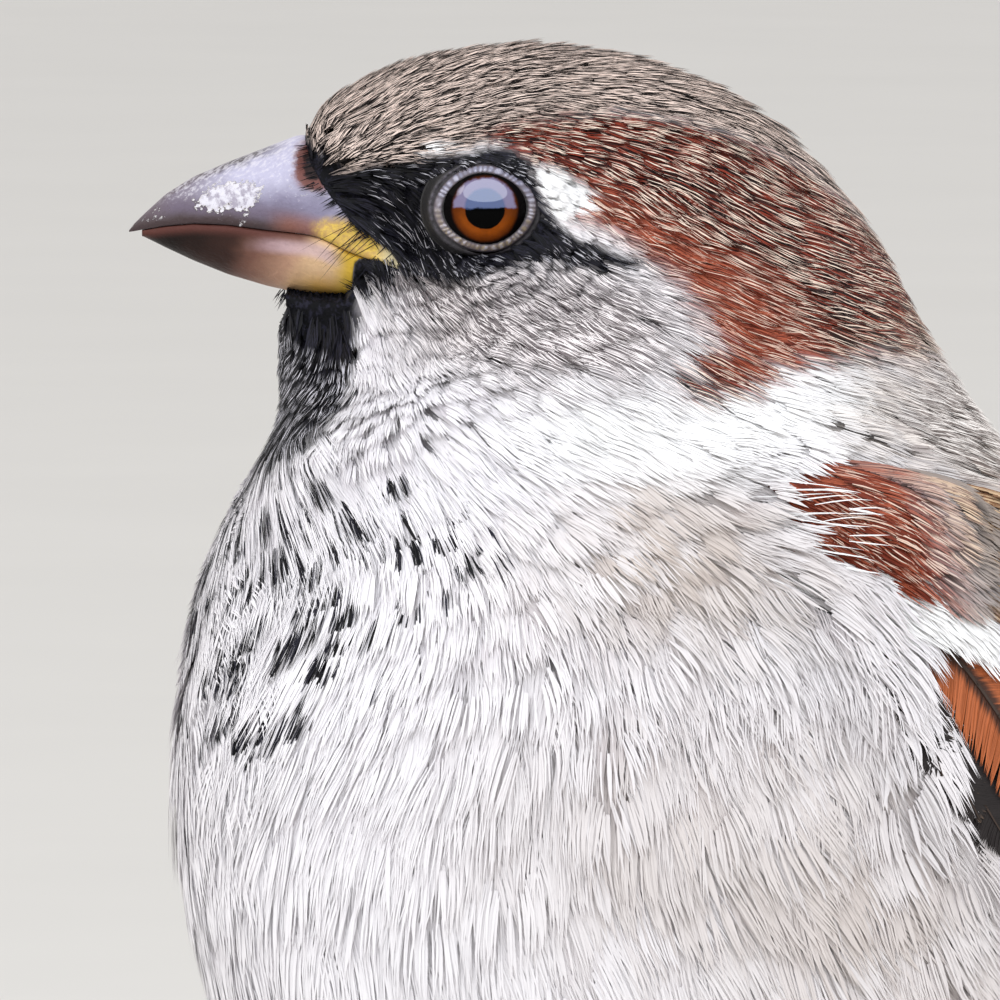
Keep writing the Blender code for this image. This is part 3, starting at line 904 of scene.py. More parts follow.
def lay_feathers(strands, chance, surface, roots, marks, feather, barb):
    """Lays one fan of barbs for each root.

    roots are stations, angles and the turn of each feather. feather holds lengths, half widths, the height
    of the tips over the body's outer surface and how far the roots lie under it, all in millimetres. barb
    holds how many barbs, their width, the points in each, and how loose they are.
    """
    station, angle, turn = roots
    length, half, lift, root_depth = feather
    barbs, width, steps, loose = barb
    number = len(station)
    turn = turn + chance.normal(0, 0.03 + 0.05 * loose, number)
    (step_s, step_a), (over_s, over_a) = feather_frame(surface, station, angle, turn)
    tone, size, kind = chance.random(number), chance.normal(1.0, 0.07, number), chance.random(number)
    start = np.repeat(np.linspace(0.0, 1.0, barbs // 2), 2)
    start = start[None] + chance.uniform(-0.03, 0.03, (number, len(start)))
    sign = np.tile([-1.0, 1.0], barbs // 2)[None]
    reach = blend(0.64, 0.24, start) * chance.normal(1.0, 0.05 + 0.06 * loose, start.shape)
    fan = np.sqrt(np.clip(1.0 - start**2, 0.0, 1.0)) * chance.uniform(0.6, 1.05, start.shape)
    start = 0.02 + 0.76 * start
    step = np.linspace(0.0, 1.0, steps)
    tips = sign * fan
    clump = np.round(tips * 2.5 + chance.normal(0, 0.15, (number, 1))) / 2.5
    ahead = (start[..., None] + reach[..., None] * step) * (length * size)[:, None, None]
    spread = 1 - (1 - step) ** 2.2
    aside = tips[..., None] * (0.68 + 0.32 * spread) + 0.45 * loose * (clump - tips)[..., None] * step**2
    wave = chance.normal(0, 0.02 + 0.03 * loose, start.shape)[..., None] * step**2
    bend = chance.normal(0, 0.07 + 0.08 * loose, number)[:, None, None]
    share = ahead / length[:, None, None]
    aside = (aside * size[:, None, None] + wave + bend * share**2) * half[:, None, None]
    rise = -root_depth[:, None, None] * (1.0 - np.clip(share, 0, 1.25) ** 0.75)
    across = aside / half[:, None, None]
    rise = rise + lift[:, None, None] * np.clip(share, 0, 1.1)
    rise = rise - 0.12 * root_depth[:, None, None] * across**2
    backing = (np.arange(barbs) // 2 % BACKING_EVERY == 0)[None] & (barbs > 3 * BACKING_EVERY)
    rise = rise - 0.07 * backing[..., None]
    jitter = chance.uniform(-0.07, 0.07, number)[:, None, None]
    jitter = jitter + chance.normal(0, 0.02, start.shape)[..., None] * step
    rise = rise + jitter * root_depth[:, None, None]
    at = station[:, None, None] + step_s[:, None, None] * ahead + over_s[:, None, None] * aside
    round_at = angle[:, None, None] + step_a[:, None, None] * ahead + over_a[:, None, None] * aside
    place, normal = surface.place_normal(at, round_at)
    lines = (place + normal * rise[..., None]).reshape(-1, steps, 3)
    normal = normal.reshape(-1, steps, 3)
    count = len(lines)
    flat = unit(np.cross(unit(np.gradient(lines, axis=1)), normal))
    roll = chance.normal(0, 0.03 + 0.32 * (1.0 - strands.soft), count)[:, None, None]
    ways = flat * np.cos(roll) + normal * np.sin(roll)
    taper = np.append(np.interp(step[:-1], [0.0, 0.3, 0.5, 0.8], [0.5, 1.0, 0.95, 0.6]), 0.0)
    backing = np.tile(backing, (number, 1)).ravel()
    widths = (width * chance.uniform(0.75, 1.2, count) * np.where(backing, 2.8, 1.0))[:, None] * taper

    def each(values):
        return np.repeat(values, start.shape[1], axis=0)

    shown = int(round(0.65 * (steps - 1)))
    marks = marks(at[..., shown].ravel(), round_at[..., shown].ravel())
    share, across = share.reshape(-1, steps), across.reshape(-1, steps)
    marks["strand"] = stacked(0 * share, share, across)
    other = np.tile(np.repeat(np.arange(barbs // 2) % 2, 2), number)  # every other barb is the darker one
    barb_tone = np.where(backing, 0.3, 0.5 * other + 0.5 * chance.random(count))
    marks["chance"] = stacked(each(tone), barb_tone, each(kind))
    aside, ahead = np.clip(across, -1, 1), np.clip(share * 2 - 1, -1, 1)
    root = each(surface.unwrap(station, angle))[:, None]
    strands.add(lines, ways, normal, widths, marks, bake_patch(root, aside, ahead))


SPACING = np.array(
    [(0.0, 0.42), (1.0, 0.52), (2.0, 0.62), (3.0, 0.72), (4.0, 0.84), (5.0, 0.95), (6.0, 1.1), (7.0, 1.3),
     (8.0, 1.6), (10.0, 2.1), (13.0, 2.5), (16.0, 2.0), (18.0, 1.5), (19.0, 1.5)]
)
LENGTHS = np.array(
    [(0.0, 1.8), (1.0, 2.4), (2.0, 3.2), (3.0, 4.0), (4.0, 5.0), (5.0, 6.0), (6.0, 7.0), (7.0, 8.4),
     (8.0, 10.5), (10.0, 13.5), (13.0, 14.0), (16.0, 13.0), (18.0, 11.0), (19.0, 11.0)]
)


def near_eye(station, angle, inner, outer):
    y, z = SURFACE.head_yz(station, angle)
    return (1.0 - ease(inner, outer, eye_distance(y, z))) * (1.0 - ease(4.5, 5.5, station))


def root_spacing(station, angle):
    degrees = side_degrees(angle)
    apart = keyed(SPACING, station)[0]
    chin = ease(110, 140, degrees) * (1.0 - ease(3.0, 5.0, station))
    return apart * (1.0 - 0.42 * near_eye(station, angle, 3.0, 6.5)) * (1.0 - 0.12 * chin)


def feather_length(station, angle):
    degrees = side_degrees(angle)
    length = keyed(LENGTHS, station)[0]
    back = 1.0 - ease(45.0, 75.0, degrees)
    length = length * (1.0 - 0.55 * near_eye(station, angle, 2.8, 6.0))
    length = length * blend(1.0, 0.85, back * ease(7.0, 9.0, station))
    return length * blend(1.0, 1.15, ease(90, 120, degrees) * ease(7.0, 10.0, station))


def rooted(station, angle):
    """Where feathers may grow: not on the bill, inside the lids or under the folded wing."""
    y, z = SURFACE.head_yz(station, angle)
    face = station < 5.0
    free = ~(face & (eye_distance(y, z) < 2.95))
    bare = depth_inside(BARE_BILL, y, z)
    free &= ~(face & (bare > 0.12))
    free &= ~(face & (bare > -0.5) & (z < 98.0) & (y < -7.0))  # the ledge under the lower mandible
    free &= (station > 0.02) & (station < 17.6)
    degrees = side_degrees(angle)
    upper, lower = keyed(WING_EDGES, station)
    free &= wing_share(station, degrees) < 0.55
    free &= ~((station > 7.6) & (station < 13.0) & (degrees > upper + 3.0) & (degrees < lower + 1.2))
    return free.astype(float)


ROOT_TRIES = 90_000
COAT_PIECES = {
    # piece: first and last station, first and last degrees, side, triangles, barb width, points,
    # looseness, softness
    "coat_face": (0.0, 3.0, 0, 181, 0, 150_000, 0.06, 3, 0.15, 0.6),
    "coat_crown": (3.0, 6.0, 0, 55, 0, 158_000, 0.07, 3, 0.1, 0.6),
    "coat_cheek_left": (3.0, 6.0, 55, 181, 1, 125_000, 0.07, 3, 0.3, 0.75),
    "coat_cheek_right": (3.0, 6.0, 55, 181, -1, 85_000, 0.08, 3, 0.3, 0.75),
    "coat_nape": (6.0, 8.2, 0, 60, 0, 100_000, 0.085, 3, 0.4, 0.75),
    "coat_collar_left": (6.0, 8.2, 60, 181, 1, 135_000, 0.105, 4, 0.4, 0.9),
    "coat_collar_right": (6.0, 8.2, 60, 181, -1, 75_000, 0.12, 4, 0.4, 0.9),
    "coat_breast_left": (8.2, 10.8, 60, 181, 1, 165_000, 0.15, 4, 0.5, 0.95),
    "coat_breast_right": (8.2, 10.8, 60, 181, -1, 92_000, 0.18, 4, 0.5, 0.95),
    "coat_belly_left": (10.8, 14.0, 45, 181, 1, 80_000, 0.24, 4, 0.7, 0.95),
    "coat_belly_right": (10.8, 14.0, 45, 181, -1, 55_000, 0.3, 4, 0.7, 0.95),
    "coat_mantle": (8.2, 14.0, 0, 60, 0, 58_000, 0.17, 4, 0.4, 0.8),
    "coat_rump": (14.0, 19.0, 0, 181, 0, 60_000, 0.2, 4, 0.6, 0.9),
}


def make_coat(finish):
    chance = np.random.default_rng(SEED)
    station, angle = spread_roots(chance, root_spacing, rooted, ROOT_TRIES)
    degrees = side_degrees(angle)
    left = np.mod(angle, 2 * math.pi) <= math.pi
    for name, (first, last, low, high, side, triangles, width, steps, loose, soft) in COAT_PIECES.items():
        mine = (station >= first) & (station < last) & (degrees >= low) & (degrees < high)
        if side:
            mine &= left if side > 0 else ~left
        s, a = station[mine], angle[mine]
        barbs = int(triangles / (2 * steps - 3) / len(s)) // 2 * 2
        length = feather_length(s, a)
        half = length * blend(0.30, 0.34, ease(6, 9, s))
        around = side_degrees(a)
        before = ease(5.9, 6.6, s) * (s < 7.3) * ease(50.0, 62.0, around) * (1.0 - ease(84.0, 96.0, around))
        length = length * (1.0 - 0.32 * before)
        half = half * (1.0 - 0.2 * before)
        lift = 0.9 * before * chance.uniform(0.4, 1.2, len(s))
        depth = coat_depth(s, a) * 0.92
        y, z = SURFACE.head_yz(s, a)
        bristly = patch(LORES, y, z, 0.5, HEAD_SIDE) * (s < 5)
        lift = lift + bristly * chance.uniform(0.0, 0.45, len(s))
        strands = Strands(soft)
        feather, barb = (length, half, lift, depth), (barbs, width, steps, loose)
        lay_feathers(
            strands, chance, LiftedSurface(tucked), (s, a, lie_turn(s, a)), markings, feather, barb
        )
        piece = strands.make(name)
        slot = "head_feather" if last <= 6.0 else "neck_feather" if last <= 8.2 else "body_feather"
        finished(piece, finish, slot)


SKIN_ROWS, SKIN_COLUMNS = 300, 160


def make_skin(finish):
    """One skin under the whole coat, in place of the solids of flesh."""
    station, angle = round_grid(SKIN_START, SKIN_END, SKIN_ROWS, SKIN_COLUMNS)
    place, normal = SURFACE.place_normal(station, angle)
    place = place - normal * coat_depth(station, angle)[..., None]
    body = loft("body_skin", place, markings(station, angle), body_unwrap(station, angle))
    skin = joined("skin", [body, thigh_skin("thigh_skin_left", 1.0), thigh_skin("thigh_skin_right", -1.0)])
    return finished(skin, finish, "body_feather", *FLESH)


# ---------------------------------------------------------------- vanes of the wings and the tail

VANE_STEP = np.array([0.0, 0.34, 0.68, 1.0])
VANE_DROOP = 0.02
SHAFT_WIDTH = 0.3


def vane_outline(share, blunt):
    """The half width of a vane along its length, of 1 at its widest."""
    round_tip = np.sqrt(np.clip(1.0 - (np.clip((share - blunt) / (1.0 - blunt), 0, 1)) ** 2.4, 0, 1))
    return round_tip * ease(-0.25, 0.45, share)


def lay_vane(strands, chance, sheet, length, half, spacing, cell, blunt):
    """One feather with a shaft and two webs of barbs. sheet(share, across) gives points and normals."""
    count = max(8, int(length / spacing))
    start = np.repeat(np.linspace(0.03, 0.985, count), 2)
    sign = np.tile([-1.0, 1.0], count)
    clump = 0.10 * np.sin(start * chance.uniform(14, 30) + chance.uniform(0, 6, 2)[(sign > 0).astype(int)])
    reach = half / length * 0.95 * (1.0 + clump + chance.normal(0, 0.03, start.shape))
    end = np.minimum(start + reach * (1.05 - start) ** 0.35, 1.0)
    wide = vane_outline(end, blunt) * half * chance.normal(1.0, 0.02, start.shape)
    share = start[:, None] + (end - start)[:, None] * VANE_STEP**1.15
    across = (sign * wide)[:, None] * VANE_STEP
    lines, normal = sheet(share, across)
    lines = lines + normal * (0.05 * np.sin(start * 60.0) * VANE_STEP[:, None] ** 2).T[..., None]
    way = unit(np.gradient(lines, axis=1))
    ways = unit(np.cross(way, normal))
    roll = chance.normal(0.12, 0.12, len(start))[:, None, None] * sign[:, None, None]
    ways = ways * np.cos(roll) + normal * np.sin(roll)
    widths = spacing * 1.9 * chance.uniform(0.8, 1.15, len(start))[:, None] * np.array([1.0, 1.0, 0.8, 0.0])
    tone, barb_tone = chance.random(), chance.random(len(start))
    column, row = cell % 8, cell // 8 % 8

    def add(lines, ways, normal, widths, share, across, barb, kind):
        number = len(lines)
        spread = np.clip(across / half, -1, 1)
        each = np.ones((number, 4))
        random = stacked(tone * each, barb[:, None] * each, kind * each)
        place = stacked(np.tile(VANE_STEP, (number, 1)), share, spread)
        uv = stacked((column + 0.03 + 0.94 * np.clip(share, 0, 1)) / 8, (row + 0.5 + 0.45 * spread) / 8)
        strands.add(lines, ways, normal, widths, {"strand": place, "chance": random}, uv)

    add(lines, ways, normal, widths, share, across, barb_tone, 0.0)
    pieces = 7
    share = np.linspace(0, 0.86, pieces)[:, None] + np.array([0.0, 0.05, 0.10, 0.15]) * 1.4
    share = np.minimum(share, 0.995)
    across = np.zeros_like(share)
    lines, normal = sheet(share, across)
    lines = lines + normal * 0.07
    ways = unit(np.cross(unit(np.gradient(lines, axis=1)), normal))
    widths = SHAFT_WIDTH * (1.0 - 0.8 * share)
    add(lines, ways, normal, widths, share, across, np.full(pieces, 0.5), 1.0)


def wing_sheet(side, root, tip, height, bow):
    """The surface of one wing feather, from (station, degrees) of its root to those of its tip."""

    def sheet(share, across):
        station = blend(root[0], tip[0], share)
        degrees = blend(root[1], tip[1], share) + bow * np.sin(math.pi * np.clip(share, 0, 1))
        angle = side * np.radians(degrees)
        down, round_ = SURFACE.steps(station, angle)
        slope = (tip[1] - root[1]) + bow * math.pi * np.cos(math.pi * np.clip(share, 0, 1))
        way = unit(down * (tip[0] - root[0]) + round_ * (side * np.radians(slope))[..., None])
        normal = unit(np.cross(round_, down))
        cross = unit(np.cross(way, normal))
        cross = np.where((np.sum(cross * round_, axis=-1) * side < 0)[..., None], -cross, cross)
        step_s, step_a = surface_steps(down, round_, cross)
        place, normal = SURFACE.place_normal(station + step_s * across, angle + step_a * across)
        rise = blend(*height, np.clip(share, 0, 1)) - VANE_DROOP * across**2
        return place + normal * rise[..., None], normal

    return sheet


WING_SETS = (
    # set, feathers from the lowest to the highest, stations and degrees of the first and the last root,
    # those of the tips, how the tips' stations run, height of the roots and of the first and last tip,
    # half width, spacing of the barbs, where the tip rounds off, bow in degrees
    ("primaries", 8, (9.4, 9.4, 80, 87), (14.2, 16.75, 40, 26), 0.8, (0.5, 0.9, 0.45), 3.2, 0.3, 0.8, 4.0),
    ("secondaries", 6, (9.6, 9.6, 76, 56), (13.4, 13.0, 47, 30), 1.0, (0.9, 1.1, 1.7), 3.6, 0.24, 0.7, 2.0),
    ("tertials", 3, (9.5, 9.5, 46, 32), (13.7, 12.2, 24, 17), 1.0, (1.5, 1.9, 2.4), 4.6, 0.22, 0.7, 1.0),
    (
        "primary_coverts", 6, (8.6, 8.6, 87, 91), (10.6, 10.0, 84, 89), 1.0, (0.9, 1.1, 1.2), 1.7, 0.13,
        0.7, 0.0,
    ),
    # the alula
    (
        "primary_coverts", 3, (8.6, 8.6, 90.5, 90.5), (9.9, 9.4, 89, 91.5), 1.0, (1.0, 1.5, 1.5), 1.6, 0.13,
        0.7, 0.0,
    ),
    (
        "greater_coverts", 9, (8.3, 9.7, 83, 40), (10.05, 11.5, 80.5, 34), 1.3, (1.3, 1.9, 1.9), 2.7, 0.13,
        0.7, 0.0,
    ),
)


def make_wing(name, side, paints):
    """The folded wing's feathers, from the flight feathers up to the greater coverts."""
    chance = np.random.default_rng(SEED + (3 if side > 0 else 4))
    sets = {}

    def lay(part, root, tip, height, half, spacing, blunt, bow):
        jitter = chance.normal(0, 0.025, 2), chance.normal(0, 0.6, 2)
        root = (root[0] + jitter[0][0], root[1] + jitter[1][0])
        tip = (tip[0] + jitter[0][1], tip[1] + jitter[1][1])
        ends = SURFACE.place_normal(np.array([root[0], tip[0]]), side * np.radians([root[1], tip[1]]))[0]
        length = float(np.linalg.norm(ends[1] - ends[0])) * 1.02
        strands, cells = sets.setdefault(part, (Strands(), []))
        cells.append(1)
        sheet = wing_sheet(side, root, tip, height, bow)
        lay_vane(strands, chance, sheet, length, half, spacing, len(cells), blunt)

    for part, number, root, tip, run, height, half, spacing, blunt, bow in WING_SETS:
        for share in np.linspace(0.0, 1.0, number):
            root_now = blend(*root[:2], share), blend(*root[2:], share)
            tip_now = blend(*tip[:2], share**run), blend(*tip[2:], share)
            lay(part, root_now, tip_now, (height[0], blend(*height[1:], share)), half, spacing, blunt, bow)
    nodes = {"secondaries": "wing_secondaries_", "primaries": "wing_primaries_"}
    slots = {
        "primaries": "primary_feather", "secondaries": "secondary_feather", "tertials": "secondary_feather"
    }
    for part, (strands, _) in sets.items():
        piece = strands.make(f"{part}_{name}")
        replaced = [nodes[part] + name] if part in nodes else []
        finished(piece, paints[part], slots.get(part, "covert_feather"), *replaced)


class LiftedSurface:
    """The body's outer surface, lifted along its normal by an amount that lift(station, degrees) gives."""

    def __init__(self, lift):
        self.lift, self.steps, self.unwrap = lift, SURFACE.steps, SURFACE.unwrap

    def place_normal(self, station, angle):
        place, normal = SURFACE.place_normal(station, angle)
        return place + normal * self.lift(station, side_degrees(angle))[..., None], normal


def tucked(station, degrees):
    """The coat swells beside the folded wing, so that its feathers lie over the wing's edge."""
    upper, lower = keyed(WING_EDGES, station)
    below = (1.0 - ease(0.0, 9.0, degrees - lower)) * (1.0 - ease(12.0, 14.0, station))
    above = (1.0 - ease(0.0, 9.0, upper - degrees)) * (1.0 - ease(10.5, 12.5, station))
    return np.where(degrees > (upper + lower) / 2, 1.9 * below, 2.4 * above) * ease(7.4, 8.2, station)


def raised(height):
    """The folded wing lifts the small coverts that lie over it."""

    def lift(station, degrees):
        upper, lower = keyed(WING_EDGES, station)
        inside = np.minimum(np.minimum(degrees - upper, lower - degrees) * 0.42, (station - 7.1) * 6.5)
        return 0.2 + height * ease(-0.5, 4.5, inside)

    return LiftedSurface(lift)


def lesser_markings(station, angle):
    """Rust at the wing's bend, streaked buff and black towards the back."""
    degrees = side_degrees(angle)
    rusty = ease(-7.0, 7.0, degrees - 60.0 - 17.0 * (station - 7.4))
    return marked(0.0 * rusty, chestnut=rusty, mantle=1.0 - rusty, plain=0.9)


def median_markings(station, angle):
    """The white bar across the wing."""
    white = ease(42.0, 50.0, side_degrees(angle))
    return marked(0.0 * white, white=white, mantle=1.0 - white)


COVERT_TIPS = {
    # degrees, and the station where the hindmost tips of the set lie there
    "lesser_coverts": np.array(
        [(36, 10.4), (42, 10.3), (60, 9.6), (75, 9.0), (78, 8.66), (84, 8.4), (90, 8.2), (95, 8.0)]
    ),
    "median_coverts": np.array(
        [(36, 11.0), (42, 10.8), (60, 10.1), (78, 9.25), (82.5, 9.05), (90, 8.75), (95, 8.55)]
    ),
}
COVERT_FRONT = np.array([(40, 7.75), (55, 7.42), (65, 7.2), (74, 7.12), (82, 7.25), (90, 7.6)])


def make_small_coverts(name, side, finish):
    """The soft feathers over the wing's bend, and the white bar behind them."""
    for part, marks, height, rows, apart, length, half, barbs, width, node in (
        ("median_coverts", median_markings, 1.9, 2, 3.0, 7.0, 2.2, 110, 0.12, ()),
        ("lesser_coverts", lesser_markings, 2.5, 7, 3.0, 5.6, 1.75, 84, 0.12, ("wing_coverts_" + name,)),
    ):
        chance = np.random.default_rng(SEED + (41 if side > 0 else 42) + rows)
        places = []
        for row in range(rows - 1, -1, -1):
            for degrees in np.arange(40.0 + apart * 0.5 * (row % 2), 88.0, apart):
                tip = keyed(COVERT_TIPS[part], degrees)[0]
                places.append((tip - (length + 1.25 * row) / 6.5, degrees + 0.6 * row))
        station, degrees = np.array(places).T
        station = station + chance.normal(0, 0.03, len(station))
        degrees = degrees + chance.normal(0, 0.5, len(degrees))
        kept = station > keyed(COVERT_FRONT, degrees)[0] - 0.1
        station, angle = station[kept], side * np.radians(degrees[kept])
        ones = np.ones(len(station))
        strands = Strands(0.88)
        roots = (station, angle, side * np.radians(-6.0) * ones)
        feather = (length * ones, half * ones, 0.25 * ones, 0.8 * ones)
        lay_feathers(strands, chance, raised(height), roots, marks, feather, (barbs, width, 4, 0.3))
        finished(strands.make(f"{part}_{name}"), finish, "covert_feather", *node)
    chance = np.random.default_rng(SEED + (43 if side > 0 else 44))
    degrees = np.linspace(84.0, 93.0, 5)
    ones = np.ones(len(degrees))
    roots = (7.15 + 0.05 * (degrees - 82.0), side * np.radians(degrees), side * np.radians(-24.0) * ones)
    strands = Strands(0.9)
    feather = (chance.uniform(6.0, 8.5, len(degrees)), 1.3 * ones, 0.4 * ones, 0.5 * ones)
    lay_feathers(strands, chance, raised(2.9), roots, median_markings, feather, (8, 0.09, 5, 0.8))
    finished(strands.make("shoulder_plumes_" + name), finish, "body_feather")


TAIL_SLOPE = math.radians(-28)
TAIL_ROOT = (90.0, 25.4)
TAIL_LENGTH, TAIL_WIDTHS, TAIL_ARCH = 38.5, (12.0, 17.5), 1.1


def tail_sheet(middle, height, reach):
    """The surface of one tail feather whose tip lies at middle, from -1 to 1 across the tail."""
    back, up = (math.cos(TAIL_SLOPE), math.sin(TAIL_SLOPE)), (-math.sin(TAIL_SLOPE), math.cos(TAIL_SLOPE))

    def sheet(share, across):
        half = blend(TAIL_WIDTHS[0], TAIL_WIDTHS[1], share) / 2 - 2.4
        x = middle * half + across
        edge = x / (TAIL_WIDTHS[1] / 2)
        rise = height - TAIL_ARCH * edge**2 - 0.03 * across**2
        length = reach * share
        y = TAIL_ROOT[0] + back[0] * length + up[0] * rise
        z = TAIL_ROOT[1] + back[1] * length + up[1] * rise
        normal = unit(stacked(2 * TAIL_ARCH * edge / 8 + 0.06 * across, up[0] + 0 * x, up[1] + 0 * x))
        return stacked(x, y, z), normal

    return sheet


def make_tail(finish):
    chance = np.random.default_rng(SEED + 7)
    strands = Strands()
    for index in range(6):  # outermost first, the middle pair on top
        for side in (-1.0, 1.0):
            share = 1.0 - index / 5
            middle = side * (0.06 + 0.94 * share)
            height = blend(0.75, -0.75, share) + 0.08 * side
            reach = TAIL_LENGTH - 1.5 * (1.0 - share)
            lay_vane(
                strands, chance, tail_sheet(middle, height, reach), reach, 2.9, 0.2, index * 2 + (side > 0),
                0.86,
            )
    finished(strands.make("tail_feathers"), finish, "tail_feather", "tail")


VANE_COLOURS = {
    # set: its centre, edge and tip, where the edge and the tip begin, whether only the outer edge is pale
    "primaries": ((62, 50, 44), (176, 142, 108), (92, 76, 66), 0.72, 0.97, True),
    "secondaries": ((58, 46, 40), (160, 104, 62), (170, 138, 104), 0.5, 0.96, False),
    "tertials": ((46, 36, 32), (178, 128, 84), (196, 160, 122), 0.6, 0.95, False),
    "primary_coverts": ((34, 28, 28), (120, 96, 78), (120, 98, 80), 0.86, 0.97, False),
    "greater_coverts": ((70, 42, 30), (180, 98, 56), (214, 158, 112), 0.08, 0.93, False),
    "tail": ((74, 62, 54), (150, 128, 108), (128, 110, 94), 0.78, 0.97, False),
}


def vane_paint(name, centre, edge, tip, edge_from, tip_from, outer_only):
    """Paint for large feathers: a dark centre, a paler edge and a tip, with fine barbs darkened along their
    edges as painted shade.
    """
    paint = Paint(name)
    edge_of, share, across = paint.parts("strand")
    tone, barb_tone, kind = paint.parts("chance")
    ragged = 0.10 * (barb_tone - 0.5)
    side = across if outer_only else abs(across)
    rim = (side + ragged).rise(edge_from, edge_from + 0.22)
    end = (share + 0.05 * (barb_tone - 0.5)).rise(tip_from, tip_from + 0.07)
    colour = paint.over(centre, (edge, rim * share.rise(0.1, 0.3)), (tip, end), ((60, 46, 38), kind))
    # Painted shade: each barb is darkened towards its edges, as though it were round.
    colour = paint.scaled(
        colour, (0.84 + 0.16 * barb_tone + 0.14 * tone) * (1 - 0.28 * abs(edge_of).rise(0.3, 1.0))
    )
    return paint.finish(base_color=colour, roughness=0.42 + 0.2 * barb_tone, specular_ior_level=0.3)


# ---------------------------------------------------------------- the bill

HORN_ROWS = 150


def make_bill(upper_finish, lower_finish):
    """Two mandibles of horn that run on under the feathers, with the soft gape at their root."""
    share = np.linspace(0.0, 1.0, HORN_ROWS)
    smooth = np.ones(5) / 5
    turn = np.full((HORN_ROWS, 1), HEAD_TURN)
    for name, finish, slot in (
        ("upper_horn", upper_finish, "upper_horn"), ("lower_horn", lower_finish, "lower_horn")
    ):
        upper = name == "upper_horn"
        y = blend(BILL_TIP_Y + (0.0 if upper else 0.75), BILL_END_Y, share**1.15)
        rows = [
            np.convolve(np.pad(line, 2, mode="edge"), smooth, mode="valid") for line in keyed(BILL_KEYS, y)
        ]
        top, mouth, bottom, half = rows
        angle = np.linspace(-math.pi / 2, math.pi / 2, 73)
        reach = (top - mouth if upper else mouth - bottom)[:, None]
        ridge = np.cos(angle) ** 0.9
        x = half[:, None] * np.sin(angle) * (1.0 if upper else 0.965)
        z = mouth[:, None] + (0.02 + reach * ridge if upper else -0.04 - reach * ridge)
        ahead = y[:, None] + 0 * x
        ends = (-5.2, -4.2) if upper else (-7.6, -6.8)
        gape = ease(-9.0, -7.0, ahead) * (1.0 - ease(*ends, ahead))
        lip = np.exp(-((ridge * reach - 0.3) / 0.32) ** 2)
        x = x + np.sign(x) * lip * (0.10 + 0.26 * gape)
        if upper:
            pit = np.exp(-(((ahead + 9.35) / 0.55) ** 2) - ((z - 104.75) / 0.75) ** 2)
            x = x - np.sign(x) * 0.5 * pit * (np.abs(x) > 0.5)
            groove = np.exp(-(((z - 102.2 - 0.12 * (ahead + 14.0)) / 0.22) ** 2))
            groove = groove * ease(-17.0, -15.0, ahead)
            x = x - np.sign(x) * 0.05 * groove
        heights = ridge + 0 * x
        rings = turned(x, ahead, z, turn)
        marks = stacked(ahead, heights, z - mouth[:, None])
        shown = depth_inside(BARE_BILL, ahead, z)[..., None] + np.zeros(3)
        marks = {"horn": marks, "shown": shown}
        marks = marks if upper else {key: values[:, ::-1] for key, values in marks.items()}
        piece = loft(name, rings if upper else rings[:, ::-1], marks)
        finished(piece, finish, slot, "upper_bill" if upper else "lower_bill")


def horn(paint, colour, scratch, relief, rough, rougher, gloss):
    """The finish of a mandible, black where it runs on under the feathers."""
    colour = paint.mix((14, 11, 12), colour, paint.parts("shown")[0].rise(-0.1, 0.1))
    return paint.finish(
        base_color=paint.scaled(colour, 0.86 + 0.28 * scratch), roughness=rough + rougher * scratch,
        normal=paint.bump(relief, 0.1), specular_ior_level=gloss,
    )


